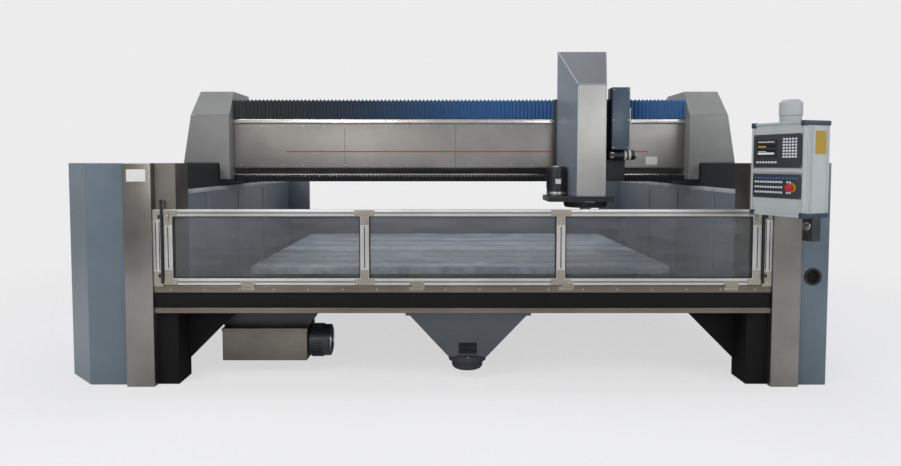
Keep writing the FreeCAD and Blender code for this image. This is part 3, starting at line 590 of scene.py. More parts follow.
def wall_fittings():
    """Ledges under the wall bellows, sheet seams, a bare plate and the cable port's grommet."""
    for side, sign in (("left", 1), ("right", -1)):
        low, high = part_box(f"{side}_side_wall")
        inner = high.x if sign > 0 else low.x
        bm = bmesh.new()
        width, drop = 0.028, 0.03
        edges = sorted((inner - sign * width, inner + sign * 0.002))
        block(bm, (edges[0], low.y, high.z - drop), (edges[1], high.y - 0.002, high.z + 0.003))
        object_from(bm, f"{side}_wall_ledge", "ledge", "bed", 0.002)
        # Upright sheet joints every 0.8 m on the inner face
        bm = bmesh.new()
        for y in spaced(low.y + 0.4, high.y - 0.4, 4):
            edges = sorted((inner, inner + sign * 0.004))
            block(bm, (edges[0], y - 0.02, 0.58), (edges[1], y + 0.02, high.z - 0.05))
        object_from(bm, f"{side}_wall_joints", "wall", "bed", 0.001)
    # Bare plate high on the left trim
    trim_low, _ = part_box("left_column_trim")
    bm = bmesh.new()
    block(bm, (trim_low.x + 0.03, trim_low.y - 0.0015, 1.47), (trim_low.x + 0.165, trim_low.y + 0.001, 1.555))
    object_from(bm, "left_trim_plate", "plate", "bed", 0.0005)
    low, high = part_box("right_fairing")
    port = Vector(((low.x + high.x) / 2, low.y, 0.786))
    bm = bmesh.new()
    ring(bm, port + Vector((0, -0.002, 0)), (0, 1, 0), 0.054, 0.008)
    object_from(bm, "port_grommet", "rubber", "bed", smooth=True)
    # A near-black disc inside the port is painted shade deep in the hole
    bm = bmesh.new()
    rod(bm, port + Vector((0, 0.020, 0)), port + Vector((0, 0.028, 0)), 0.0495)
    object_from(bm, "port_shade_disc", "hole", "bed")


def wall_covers():
    """Cover plates with louvres on the walls' outer faces, and the cabinet's door with its two locks."""
    for side, sign in (("left", -1), ("right", 1)):
        low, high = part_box(f"{side}_side_wall")
        face = low.x if sign < 0 else high.x
        plates, slats, points = bmesh.new(), bmesh.new(), []
        for start in (1.05, 2.15):
            span = (low.y + start, low.y + start + 0.95)
            points += cover_plate(plates, face, sign, span, (0.48, 1.24), "X")
            for z in spaced(0.60, 0.76, 7):
                near, far = sorted((face, face + sign * 0.006))
                block(slats, (near, span[0] + 0.28, z - 0.006), (far, span[1] - 0.28, z + 0.004))
        object_from(plates, f"{side}_wall_covers", "outer", "bed", 0.001, 1)
        object_from(slats, f"{side}_wall_louvres", "outer", "bed", 0.0015, 1)
        scatter("screw", f"{side}_cover_screws", points, (sign, 0, 0), "outer", "bed", 0.007,
                0.003)
    low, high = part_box("left_cabinet")
    door, locks = bmesh.new(), bmesh.new()
    cover_plate(door, low.x, -1, (low.y + 0.40, high.y - 0.06), (0.14, 1.52), "X")
    for z in (0.5, 1.2):
        rod(locks, (low.x - 0.002, low.y + 0.45, z), (low.x - 0.006, low.y + 0.45, z), 0.014, 24)
    object_from(door, "cabinet_door", "cabinet", "bed", 0.001, 1)
    object_from(locks, "cabinet_locks", "steel", "bed", 0.001, 1)


def rear_fittings():
    """Bolts of the rear wall and its corner panels, and plates over the back of the beam."""
    low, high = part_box("rear_wall")
    points = [(x, high.y, high.z - 0.035) for x in spaced(low.x + 0.55, high.x - 0.55, 13)]
    low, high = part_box("rear_corner_panels")
    points += [(x, high.y, z) for x in (low.x + 0.05, high.x - 0.05)
               for z in spaced(low.z + 0.05, high.z - 0.05, 4)]
    scatter("screw", "rear_bolts", points, (0, 1, 0), "steel", "bed", 0.009, 0.004)
    low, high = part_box("gantry_beam")
    plates, points = bmesh.new(), []
    width = (high.x - low.x - 0.5) / 3
    for i in range(3):
        start = low.x + 0.1 + i * (width + 0.15)
        points += cover_plate(plates, high.y, 1, (start, start + width), (low.z + 0.12, high.z - 0.16), "Y")
    object_from(plates, "beam_covers", "leg", "gantry", 0.001, 1)
    scatter("screw", "beam_cover_screws", points, (0, 1, 0), "steel", "gantry", 0.007, 0.003)


def front_bar_details():
    """Bolts along the sill."""
    low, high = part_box("front_sill")
    points = [(x, low.y - 0.0005, (low.z + high.z) / 2) for x in spaced(low.x + 0.12, high.x - 0.12, 18)]
    scatter("screw", "sill_bolts", points, (0, -1, 0), "steel", "bed", 0.006, 0.004)


def hopper_details():
    """Rim of the funnel and bolts of its flange."""
    low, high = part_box("drain_hopper")
    _, flange_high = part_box("hopper_outlet")
    centre = middle_of("hopper_outlet")
    points = [(centre.x + 0.128 * math.cos(a), centre.y + 0.128 * math.sin(a), flange_high.z + 0.001)
              for a in (2 * math.pi * i / 8 for i in range(8))]
    scatter("screw", "flange_bolts", points, (0, 0, 1), "steel", "bed", 0.009, 0.008)
    bm = bmesh.new()
    rim = 0.02
    for y0, y1 in ((low.y - 0.003, low.y + rim), (high.y - rim, high.y + 0.003)):
        block(bm, (low.x - 0.003, y0, high.z - 0.03), (high.x + 0.003, y1, high.z - 0.0005))
    for x0, x1 in ((low.x - 0.003, low.x + rim), (high.x - rim, high.x + 0.003)):
        block(bm, (x0, low.y + rim, high.z - 0.03), (x1, high.y - rim, high.z - 0.0005))
    object_from(bm, "hopper_rim", "hopper", "bed", 0.002)


def pump_details():
    """Lid hem of the pump box, and the motor's fins and fan guard."""
    low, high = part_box("pump_box")
    bm = bmesh.new()
    hem = 0.004
    block(bm, (low.x - hem, low.y - hem, high.z - 0.022), (high.x + hem, high.y + hem, high.z + 0.0005))
    object_from(bm, "pump_lid", "pump", "bed", 0.002)
    low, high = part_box("pump_motor")
    centre = middle_of("pump_motor")
    radius = (high.z - low.z) / 2
    bm = bmesh.new()
    for i in range(32):
        a = 2 * math.pi * i / 32
        out = Vector((0, math.cos(a), math.sin(a)))
        side = Vector((0, -math.sin(a), math.cos(a)))
        foot = Vector((0, centre.y, centre.z)) + out * (radius - 0.003)
        corners = [foot - side * 0.003, foot + side * 0.003, foot + side * 0.002 + out * 0.011,
                   foot - side * 0.002 + out * 0.011]
        prism(bm, [(c.y, c.z) for c in corners], low.x + 0.02, high.x - 0.06, axis=0)
    object_from(bm, "pump_motor_fins", "black", "bed")
    bm = bmesh.new()
    for r in (0.03, 0.055, 0.08, 0.1):
        ring(bm, (high.x, centre.y, centre.z), (1, 0, 0), r, 0.003, 32, 6)
    rod(bm, (high.x - 0.005, centre.y, centre.z), (high.x + 0.004, centre.y, centre.z), 0.018, 20)
    object_from(bm, "pump_fan_guard", "steel", "bed", smooth=True)


def table_planks():
    """The deck: planks laid side to side with gaps, scoured by slabs, over the solid table."""
    low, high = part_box("work_table")
    bm = bmesh.new()
    gap, skin = 0.008, 0.004
    step = (high.y - low.y) / PLANKS
    for i in range(PLANKS):
        y = low.y + i * step
        block(bm, (low.x, y + gap / 2, low.z),
              (high.x, y + step - gap / 2, high.z + (skin if i % 2 else 0.001)))
    deck = object_from(bm, "table_planks", "deck", "bed", 0.003)
    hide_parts("work_table")


# Bellows
def bellows(name, low, high, along, parent, child, start, end, nodes_replaced, finish, dip=0.016, pitch=0.03,
            solid_back=True):
    """Folded cloth along X or Y between two bodies, made as one fixed mesh that rides on neither. low and
    high are its section's corners.
    """
    bm = bmesh.new()
    length = end - start
    folds = max(4, round(length / pitch))
    rows = []
    for i in range(2 * folds + 1):
        inset = dip if i % 2 else 0.0
        where = start + length * i / (2 * folds)
        near, far = low[0] + inset, high[0] - (0.0 if solid_back else inset)
        bottom, top = low[1], high[1] - inset
        section = [(near, bottom), (near, top), (far, top), (far, bottom)]
        rows.append([bm.verts.new((where, a, z) if along == "X" else (a, where, z)) for a, z in section])
    for first, second in zip(rows, rows[1:]):
        for k in range(4):
            m = (k + 1) % 4
            bm.faces.new((first[k], first[m], second[m], second[k]))
    bm.faces.new(rows[0])
    bm.faces.new(rows[-1])
    made = object_from(bm, name, finish, None)
    if nodes_replaced:
        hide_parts(*nodes_replaced)
    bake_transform(made)
    return made


def all_bellows():
    """Beam bellows above and below the face panel, wall bellows in front of and behind the gantry."""
    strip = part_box("beam_strip")
    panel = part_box("beam_panel")
    for side in ("left", "right"):
        low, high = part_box(f"{side}_beam_bellows")
        order = ("gantry", "saddle") if side == "left" else ("saddle", "gantry")
        hood_low = strip[1].z + 0.005
        bellows(f"{side}_hood_bellows", (low.y, hood_low), (high.y, high.z), "X", *order, low.x, high.x,
                [f"{side}_beam_bellows"], "cloth", 0.016, 0.033)
        bellows(f"{side}_under_bellows", (low.y, low.z), (high.y, panel[0].z - 0.004), "X", *order, low.x,
                high.x,
                [], "cloth_black")
    for span, order in (("front", ("bed", "gantry")), ("rear", ("gantry", "bed"))):
        low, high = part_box(f"{span}_wall_bellows")
        width = 0.4
        for side, (near, far) in (("left", (low.x, low.x + width)), ("right", (high.x - width, high.x))):
            replaced = [f"{span}_wall_bellows"] if side == "left" else []
            bellows(f"{side}_{span}_rail_bellows", (near, low.z + 0.002), (far, high.z), "Y", *order, low.y,
                    high.y,
                    replaced, "cloth_black", solid_back=False)
    # Clamp plates of the bellows at the columns
    for side in ("left", "right"):
        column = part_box(f"{side}_front_column")
        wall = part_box("front_wall_bellows")
        near, far = (wall[0].x, wall[0].x + 0.4) if side == "left" else (wall[1].x - 0.4, wall[1].x)
        bm = bmesh.new()
        block(bm, (near, column[1].y, 1.402), (far, column[1].y + 0.004, 1.598))
        object_from(bm, f"{side}_bellows_clamp", "black", "bed", 0.001)


# Gate
def gate_details():
    """Aluminium profile with a groove each side, cast brackets, panes, seals, hinges and latches."""
    dressed("gate_frame", "profile", "gate", 0.003, 2)
    paint("gate_glass", "glass")
    paint("gate_hinge_leaves", "bracket")
    low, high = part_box("gate_frame")
    pane_low, pane_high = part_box("gate_glass")
    rail = pane_low.z - low.z
    stile = pane_low.x - low.x
    bay = ((high.x - low.x) - 4 * stile) / 3
    face = low.y
    starts = [low.x + i * (bay + stile) for i in range(4)]
    # The grooves of the profile show as dark lines with pale lips
    bm = bmesh.new()
    lips = bmesh.new()
    for z in (low.z + rail / 2, high.z - rail / 2):
        block(bm, (low.x + 0.09, face - GROOVE, z - 0.0035), (high.x - 0.09, face + SINK, z + 0.0035))
        for edge in (-0.009, 0.009):
            block(lips, (low.x + 0.09, face - 0.0016, z + edge - 0.002),
                  (high.x - 0.09, face + SINK, z + edge + 0.002))
    for x in starts:
        block(bm, (x + stile / 2 - 0.0035, face - GROOVE, low.z + 0.12),
              (x + stile / 2 + 0.0035, face + SINK, high.z - 0.12))
        for edge in (-0.012, 0.012):
            block(lips, (x + stile / 2 + edge - 0.002, face - 0.0016, low.z + 0.12),
                  (x + stile / 2 + edge + 0.002, face + SINK, high.z - 0.12))
    object_from(bm, "gate_grooves", "rubber", "gate")
    object_from(lips, "gate_groove_lips", "profile", "gate", 0.0006, 1)
    # Rubber seals round the panes, front and back
    seals = bmesh.new()
    thick = 0.007
    for i in range(3):
        x0 = starts[i] + stile
        x1 = x0 + bay
        for y0, y1 in ((face + 0.006, pane_low.y), (pane_high.y, high.y - 0.006)):
            block(seals, (x0, y0, pane_low.z), (x1, y1, pane_low.z + thick))
            block(seals, (x0, y0, pane_high.z - thick), (x1, y1, pane_high.z))
            block(seals, (x0, y0, pane_low.z + thick), (x0 + thick, y1, pane_high.z - thick))
            block(seals, (x1 - thick, y0, pane_low.z + thick), (x1, y1, pane_high.z - thick))
    object_from(seals, "gate_seals", "rubber", "gate", 0.001, 1)
    # Cast brackets: an L at each outer corner and a T at each middle stile
    cast = bmesh.new()
    points = []
    out, reach, thick = 0.004, 0.095, 0.005
    for i, x in enumerate(starts):
        middle = x + stile / 2
        for z, inward in ((high.z, -1), (low.z, 1)):
            ledge = sorted((z, z + inward * rail))
            if i in (0, 3):
                arm = sorted((x if i == 0 else x + stile, x + reach if i == 0 else x + stile - reach))
            else:
                arm = [middle - reach * 0.75, middle + reach * 0.75]
            block(cast, (arm[0], face - out, ledge[0] + 0.003), (arm[1], face + SINK, ledge[1] - 0.003))
            leg = sorted((z + inward * (rail - 0.003), z + inward * (rail + reach * 0.65)))
            block(cast, (x + 0.004, face - out, leg[0]), (x + stile - 0.004, face + SINK, leg[1]))
            points += [(arm[0] + 0.016, face - out, (ledge[0] + ledge[1]) / 2),
                       (arm[1] - 0.016, face - out, (ledge[0] + ledge[1]) / 2),
                       (middle, face - out, (leg[0] + leg[1]) / 2 + inward * 0.012)]
    object_from(cast, "gate_brackets", "bracket", "gate", 0.0015, 2)
    scatter("screw", "gate_bracket_screws", points, (0, -1, 0), "steel", "gate", 0.007,
            0.004)
    # Butt hinges: a leaf on the gate's bottom rail over each pair of knuckles
    leaves = bmesh.new()
    sill = bmesh.new()
    screws, sill_screws = [], []
    for share in (-0.72, -0.155, 0.345, 0.90):
        x = (low.x + high.x) / 2 + share * (high.x - low.x) / 2
        block(leaves, (x - 0.05, face - 0.003, low.z + 0.002), (x + 0.05, face + SINK, low.z + 0.030))
        block(sill, (x - 0.05, face - 0.003, low.z - 0.036), (x + 0.05, face + SINK, low.z - 0.010))
        screws += [(x + dx, face - 0.003, low.z + 0.017) for dx in (-0.033, 0.033)]
        sill_screws += [(x + dx, face - 0.003, low.z - 0.024) for dx in (-0.033, 0.033)]
    object_from(leaves, "gate_hinge_plates", "bracket", "gate", 0.001, 1)
    object_from(sill, "sill_hinge_plates", "bracket", "bed", 0.001, 1)
    scatter("screw", "gate_hinge_screws", screws, (0, -1, 0), "steel", "gate", 0.005, 0.003)
    scatter("screw", "sill_hinge_screws", sill_screws, (0, -1, 0), "steel", "bed", 0.005,
            0.003)
    # Post grooves between a cast bracket at each end, and the brackets' bolts
    post_low, post_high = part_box("gate_posts")
    width, out = 0.07, 0.003
    grooves, ends, bolts = bmesh.new(), bmesh.new(), []
    for x0 in (post_low.x, post_high.x - width):
        for dx in (0.022, 0.048):
            block(grooves, (x0 + dx - 0.003, post_low.y - GROOVE, post_low.z + 0.115),
                  (x0 + dx + 0.003, post_low.y + SINK, post_high.z - 0.085))
        for z0, z1 in ((post_low.z + 0.004, post_low.z + 0.105), (post_high.z - 0.075, post_high.z - 0.002)):
            block(ends, (x0 + 0.003, post_low.y - out, z0), (x0 + width - 0.003, post_low.y + SINK, z1))
            bolts += [(x0 + width / 2, post_low.y - out, z) for z in (z0 + 0.02, z1 - 0.02)]
    object_from(grooves, "post_grooves", "rubber", "bed")
    object_from(ends, "post_brackets", "bracket", "bed", 0.0015, 2)
    scatter("screw", "post_bolts", bolts, (0, -1, 0), "steel", "bed", 0.007, 0.004)
    # Black slide bolts between the posts and the gate, each with a knob and two keepers on its post
    bars, thin, ahead = bmesh.new(), 0.009, post_low.y - 0.006
    for side, edge in ((-1, low.x - 0.002), (1, high.x + 0.002)):
        x = edge + side * thin
        rod(bars, (x, ahead, low.z + 0.015), (x, ahead, high.z + 0.055), thin, 20)
        rod(bars, (x, ahead, high.z + 0.045), (x, ahead, high.z + 0.07), thin * 1.25, 20)
        for z in (low.z + 0.07, high.z - 0.05):
            near, far = sorted((edge, edge + side * 0.034))
            block(bars, (near, ahead - thin * 0.8, z - 0.012), (far, post_low.y + SINK, z + 0.012))
    object_from(bars, "gate_slide_bolts", "rubber", "bed", 0.001, 2)
    # Latches on the top rail
    bm = bmesh.new()
    for side in (-1, 1):
        x = (low.x + high.x) / 2 + side * ((high.x - low.x) / 2 - 0.03)
        rod(bm, (x, face - 0.014, high.z - 0.02), (x, face - 0.014, high.z - 0.08), 0.006, 16)
        block(bm, (x - 0.012, face - 0.016, high.z - 0.06), (x + 0.012, face - 0.0035, high.z - 0.035))
    object_from(bm, "gate_latches", "steel", "gate", 0.0015)


# Gantry
def gantry_skins():
    for side, sign in (("left", -1), ("right", 1)):
        dressed(f"{side}_gantry_leg", "leg", "gantry", 0.010, 4)
        low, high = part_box(f"{side}_gantry_leg")
        inner = high.x if sign < 0 else low.x
        bm = bmesh.new()
        fold = 2.010
        width = abs(high.x - low.x)
        outer = low.x if sign < 0 else high.x
        edges = sorted((inner + sign * 0.006, outer - sign * (width * 0.27)))
        block(bm, (edges[0], low.y - 0.0025, fold - 0.003), (edges[1], low.y + 0.006, fold + 0.003))
        object_from(bm, f"{side}_leg_fold", "leg", "gantry", 0.001, 1)
    dressed("end_carriages", "carriage", "gantry", 0.004)
    dressed("gantry_beam", "wall", "gantry", 0.004)
    dressed("beam_panel", "panel", "gantry", 0.003, 3)
    dressed("beam_strip", "strip", "gantry", 0.004, 3)
    dressed("beam_rails", "strip", "gantry", 0.002)


def beam_details():
    """Screws and joints of the face panel, the thin painted line, and a bare plate."""
    low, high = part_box("beam_panel")
    face = low.y
    line_z = low.z + 0.20
    points = [(x, face - 0.0005, z) for x in spaced(low.x + 0.06, high.x - 0.06, 22)
              for z in (low.z + 0.085, high.z - 0.02)]
    scatter("screw", "panel_screws", points, (0, -1, 0), "steel", "gantry", 0.005, 0.003)
    bm = bmesh.new()
    for x in (low.x + 0.965, low.x + 1.93, low.x + 2.895):
        block(bm, (x - 0.0015, face - 0.0008, low.z + 0.062), (x + 0.0015, face + SINK, high.z - 0.001))
    object_from(bm, "panel_joints", "black", "gantry")
    bm = bmesh.new()
    block(bm, (low.x + 0.45, face - 0.0012, line_z - 0.006), (high.x - 0.32, face + SINK, line_z + 0.004))
    object_from(bm, "panel_line", "line", "gantry")
    bm = bmesh.new()
    block(bm, (high.x - 0.335, face - 0.0016, low.z + 0.085), (high.x - 0.235, face + SINK, low.z + 0.155))
    object_from(bm, "panel_plate", "plate", "gantry", 0.0004, 1)
    low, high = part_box("beam_strip")
    points = [(x, low.y - 0.0005, (low.z + high.z) / 2) for x in spaced(low.x + 0.05, high.x - 0.05, 40)]
    scatter("screw", "strip_screws", points, (0, -1, 0), "steel", "gantry", 0.0055, 0.003)
    # Hem under the panel's folded foot
    low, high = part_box("beam_panel")
    bm = bmesh.new()
    block(bm, (low.x, high.y - 0.018, low.z - 0.003), (high.x, high.y - 0.002, low.z + 0.010))
    object_from(bm, "panel_foot", "strip", "gantry", 0.001, 1)


# Saddle and head
def saddle_details():
    dressed("saddle_plate", "black", "saddle", 0.004)
    dressed("saddle_blocks", "black", "saddle", 0.002)
    dressed("drive_housing", "navy", "saddle", 0.008, 4)
    dressed("hose_coupling", "black", "saddle", 0.004, 3)
    low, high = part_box("drive_housing")
    bm = bmesh.new()
    # Conduit down the right edge
    x, y = high.x + 0.004, low.y + 0.02
    rod(bm, (x, y, low.z + 0.02), (x, y, low.z + 0.34), 0.009, 20)
    for z in (low.z + 0.02, low.z + 0.34):
        rod(bm, (x, y, z - 0.012), (x, y, z + 0.012), 0.014, 6)
    object_from(bm, "drive_conduit", "steel", "saddle", 0.001, 1)
    bm = bmesh.new()
    for z in spaced(low.z + 0.06, low.z + 0.16, 6):
        block(bm, (low.x + 0.03, low.y - 0.003, z - 0.003), (high.x - 0.03, low.y + 0.001, z + 0.003))
    object_from(bm, "drive_vents", "navy", "saddle", 0.001, 1)
    points = [(x, low.y - 0.0005, z) for x in (low.x + 0.014, high.x - 0.014)
              for z in (low.z + 0.02, low.z + 0.25, high.z - 0.02)]
    scatter("screw", "drive_screws", points, (0, -1, 0), "steel", "saddle", 0.005, 0.003)
    # White rings and steel sleeve of the coupling
    low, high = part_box("hose_coupling")
    centre = middle_of("hose_coupling")
    radius = (high.z - low.z) / 2
    bm = bmesh.new()
    for start in (0.045, 0.080):
        rod(bm, (high.x - start - 0.010, centre.y, centre.z), (high.x - start + 0.010, centre.y, centre.z),
            radius + 0.0025, 40)
    object_from(bm, "coupling_rings", "plate", "saddle", 0.001, 2)
    bm = bmesh.new()
    rod(bm, (high.x - 0.004, centre.y, centre.z), (high.x + 0.012, centre.y, centre.z), radius * 0.72, 32)
    rod(bm, (low.x + 0.012, centre.y, centre.z), (low.x + 0.040, centre.y, centre.z), radius + 0.004, 6)
    object_from(bm, "coupling_sleeve", "steel", "saddle", 0.0015, 2)
    # Bracket that holds the coupling to the plate
    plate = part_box("saddle_plate")
    bm = bmesh.new()
    block(bm, (low.x + 0.05, centre.y + radius * 0.6, centre.z - 0.03),
          (low.x + 0.12, plate[0].y, centre.z + 0.03))
    object_from(bm, "coupling_bracket", "black", "saddle", 0.002)


def head_shell():
    """The tapered cover: painted sides, slate sloping top, brushed front, closed with folded seams."""
    low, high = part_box("head_cover")
    middle = (low.x + high.x) / 2
    front_half, back_half = 0.116, 0.210
    front_top = 2.227
    bm = bmesh.new()

    def corner(x, y, z):
        return bm.verts.new((x, y, z))

    base = [corner(middle - front_half, low.y, low.z), corner(middle + front_half, low.y, low.z),
            corner(middle + back_half, high.y, low.z), corner(middle - back_half, high.y, low.z)]
    top = [corner(middle - front_half, low.y, front_top), corner(middle + front_half, low.y, front_top),
           corner(middle + back_half, high.y, high.z), corner(middle - back_half, high.y, high.z)]
    bm.faces.new(base)
    roof = bm.faces.new(top)
    front = bm.faces.new((base[0], base[1], top[1], top[0]))
    for i in (1, 2, 3):
        bm.faces.new((base[i], base[(i + 1) % 4], top[(i + 1) % 4], top[i]))
    roof.material_index = 1
    front.material_index = 2
    shell = object_from(bm, "head_shell", "head_side", "head", 0.008, 4)
    for finish in ("head_top", "head_front"):
        shell.data.materials.append(FINISHES[finish])
    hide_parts("head_cover")
    # Narrow hem round the front sheet, and its screws
    bm = bmesh.new()
    for side in (-1, 1):
        edges = sorted((middle + side * (front_half - 0.002), middle + side * (front_half - 0.012)))
        block(bm, (edges[0], low.y - 0.0018, low.z + 0.02), (edges[1], low.y + 0.001, front_top - 0.02))
    object_from(bm, "head_front_hem", "head_front", "head", 0.0006, 1)
    points = [(middle + side * (front_half - 0.028), low.y - 0.0005, z) for side in (-1, 1)
              for z in (low.z + 0.03, low.z + 0.32, low.z + 0.62, front_top - 0.04)]
    scatter("screw", "head_screws", points, (0, -1, 0), "steel", "head", 0.006, 0.003)
    # Screws along a side seam on both flanks
    slope = (back_half - front_half) / (high.y - low.y)
    lean = math.atan(slope)
    for side in (-1, 1):
        seam = []
        for z in spaced(low.z + 0.05, front_top + 0.1, 6):
            for share in (0.08, 0.92):
                if share < 0.5 and z > front_top - 0.03:
                    continue
                y = low.y + share * (high.y - low.y)
                seam.append((middle + side * (front_half + slope * (y - low.y)), y, z))
        name = "left" if side < 0 else "right"
        direction = (side * math.cos(lean), -math.sin(lean), 0)
        scatter("screw", f"head_{name}_screws", seam, direction, "steel", "head", 0.005, 0.003)


def head_foot():
    """Skirt, brush, spindle nose and the small side motor."""
    dressed("head_skirt", "black", "head", 0.003)
    dressed("spindle_nose", "steel", "head", 0.004, 3)
    low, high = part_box("head_skirt")
    nose = middle_of("spindle_nose")
    radius, count = 0.172, 260
    points = []
    for i in range(count):
        a = 2 * math.pi * i / count
        r = radius + 0.004 * math.sin(i * 2.39996)
        points.append((nose.x + r * math.cos(a), nose.y + r * math.sin(a), low.z + 0.012))
    scatter("bristle", "skirt_bristles", points, (0, 0, 1), "rubber", "head", 0.0022, 0.060)
    bm = bmesh.new()
    ring(bm, (nose.x, nose.y, low.z + 0.048), (0, 0, 1), 0.172, 0.006, 48, 8)
    object_from(bm, "brush_ring", "steel", "head", smooth=True)
    bm = bmesh.new()
    block(bm, (low.x + 0.004, low.y - 0.012, high.z - 0.018), (high.x - 0.004, low.y + 0.002, high.z + 0.002))
    object_from(bm, "skirt_lip", "black", "head", 0.002)
    dressed("side_motor", "black", "head", 0.010, 4)
    low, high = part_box("side_motor")
    centre = middle_of("side_motor")
    radius = (high.x - low.x) / 2
    bm = bmesh.new()
    rod(bm, (centre.x, centre.y, low.z + 0.004), (centre.x, centre.y, low.z + 0.034), radius + 0.002, 48)
    rod(bm, (centre.x, centre.y, high.z - 0.004), (centre.x, centre.y, high.z + 0.006), radius * 0.55, 32)
    object_from(bm, "side_motor_ring", "steel", "head", 0.002, 2)
    bm = bmesh.new()
    for i in range(36):
        a = 2 * math.pi * i / 36
        out = Vector((math.cos(a), math.sin(a)))
        side = Vector((-out.y, out.x))
        foot = Vector((centre.x, centre.y)) + out * (radius - 0.002)
        prism(bm, [foot - side * 0.0018, foot + side * 0.0018, foot + side * 0.0012 + out * 0.005,
                   foot - side * 0.0012 + out * 0.005], low.z + 0.06, high.z - 0.03)
    object_from(bm, "side_motor_fins", "black", "head")
    bm = bmesh.new()
    block(bm, (centre.x - 0.022, centre.y - radius - 0.010, low.z + 0.10),
          (centre.x + 0.022, centre.y - radius + 0.004, low.z + 0.14))
    object_from(bm, "side_motor_plate", "plate", "head", 0.001, 1)


# Control box
BOX_TURN = math.radians(-68)


def control_box():
    """Aluminium box with navy corners, two membrane panels, keys, display, stop button and handwheel."""
    swivel = middle_of("swivel_coupling")
    place = Matrix.Translation((swivel.x, swivel.y, 0)) @ Matrix.Rotation(BOX_TURN, 4, "Z")
    low_z, high_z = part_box("control_box")[0].z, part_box("control_box")[1].z
    half_w, half_d = 0.205, 0.105
    front = -half_d
    dressed("control_box", "box", "pendant", 0.006, 3)
    dressed("control_faces", "membrane", "pendant", 0.0015)
    dressed("box_handle", "black", "pendant", 0.006, 3)
    dressed("swivel_coupling", "box", "pendant", 0.004, 3)
    dressed("handwheel_body", "black", "pendant", 0.008, 3)

    def add(name, finish, shapes, bevel=0.0008, steps=1, smooth=False):
        bm = bmesh.new()
        shapes(bm)
        return object_from(bm, name, finish, "pendant", bevel, steps, smooth, place)

    # Raised frame of the front: four profile bars round it and one across the middle
    def bars(bm):
        w = 0.014
        y0, y1 = front - 0.008, front + 0.002
        block(bm, (-half_w, y0, low_z), (-half_w + w, y1, high_z))
        block(bm, (half_w - w, y0, low_z), (half_w, y1, high_z))
        block(bm, (-half_w + w, y0, high_z - w), (half_w - w, y1, high_z))
        block(bm, (-half_w + w, y0, low_z), (half_w - w, y1, low_z + w))
        block(bm, (-half_w + w, y0, 1.542), (half_w - w, y1, 1.558))

    add("box_frame_bars", "box", bars, 0.002, 2)

    def side_ribs(bm):
        for y in (-0.085, -0.062, -0.045, 0.085):
            block(bm, (half_w - 0.001, y - 0.0035, low_z + 0.03),
                  (half_w + 0.0035, y + 0.0035, high_z - 0.03))

    add("box_side_ribs", "box", side_ribs, 0.0012, 2)

    def corners(bm):
        s, out = 0.030, 0.004
        for x0, x1 in ((-half_w - out, -half_w + s), (half_w - s, half_w + out)):
            for z0, z1 in ((low_z - out, low_z + s), (high_z - s, high_z + out)):
                block(bm, (x0, front - 0.010, z0), (x1, front + 0.018, z1))
        for z0, z1 in ((high_z - 0.026, high_z + out), (low_z - out, low_z + 0.026)):
            block(bm, (half_w - 0.004, front + 0.018, z0), (half_w + out, half_d + 0.002, z1))

    add("box_corners", "corner", corners, 0.003, 2)

    face_y = front - 0.006

    def display(bm):
        block(bm, (-0.165, face_y - 0.0030, 1.640), (0.000, face_y + 0.001, 1.752))

    add("display_bezel", "rubber", display, 0.001)
    add("display_glass", "screen",
        lambda bm: block(bm, (-0.158, face_y - 0.0036, 1.647), (-0.007, face_y, 1.745)),
        0.0006)

    def readings(bm):
        block(bm, (-0.150, face_y - 0.0042, 1.700), (-0.085, face_y - 0.003, 1.712))

    add("display_bar", "yellow", readings, 0)

    def light_bars(bm):
        block(bm, (-0.150, face_y - 0.0042, 1.734), (-0.020, face_y - 0.003, 1.739))
        block(bm, (-0.150, face_y - 0.0042, 1.655), (-0.020, face_y - 0.003, 1.668))
        block(bm, (-0.150, face_y - 0.0042, 1.672), (-0.085, face_y - 0.003, 1.676))

    add("display_lines", "key", light_bars, 0)
    # Keys: a block of pale keys beside the display, soft keys under it, four groups on the lower panel
    pale = [(x, face_y - 0.001, z) for x in spaced(0.052, 0.142, 5) for z in spaced(1.640, 1.752, 7)]
    pale += [(x, face_y - 0.001, 1.605) for x in spaced(-0.155, -0.010, 7)]
    scatter("key", "upper_keys", pale, (0, -1, 0), "key", "pendant", 0.0115, 0.003, 0.0145,
            place)
    lower = [(x, face_y - 0.001, z) for x in spaced(-0.165, 0.040, 11) for z in spaced(1.412, 1.478, 3)]
    lower += [(x, face_y - 0.001, z) for x in (0.085, 0.105) for z in spaced(1.412, 1.478, 3)]
    scatter("key", "lower_keys", lower, (0, -1, 0), "key", "pendant", 0.0120, 0.003, 0.0125,
            place)
    blue = [(x, face_y - 0.001, 1.503) for x in spaced(-0.165, 0.150, 14)]
    scatter("key", "blue_keys", blue, (0, -1, 0), "key_blue", "pendant", 0.011, 0.003,
            0.0145, place)

    def stop(bm):
        rod(bm, (0.120, face_y, 1.445), (0.120, face_y - 0.022, 1.445), 0.012, 24)
        rod(bm, (0.120, face_y - 0.020, 1.445), (0.120, face_y - 0.042, 1.445), 0.022, 32, 0.019)

    add("stop_button", "red", stop, 0.002, 3)
    add("stop_collar", "yellow",
        lambda bm: rod(bm, (0.120, face_y, 1.445), (0.120, face_y - 0.005, 1.445), 0.030, 40),
        0.001)
    add("side_patch", "yellow",
        lambda bm: block(bm, (half_w, -0.020, 1.655), (half_w + 0.0012, 0.070, 1.800)), 0)
    # Round cap over the arm joint, and screws
    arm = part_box("control_arm")
    bm = bmesh.new()
    top = arm[1].z
    rod(bm, (swivel.x, swivel.y, top - 0.002), (swivel.x, swivel.y, top + 0.018), 0.066, 48, 0.050)
    object_from(bm, "arm_cap", "box", "bed", 0.004, 3)
    # Handwheel: dial and crank knob on the front of its body, with two more knobs
    wheel = middle_of("handwheel_body")
    inverse = place.inverted() @ wheel
    y = inverse.y - 0.035

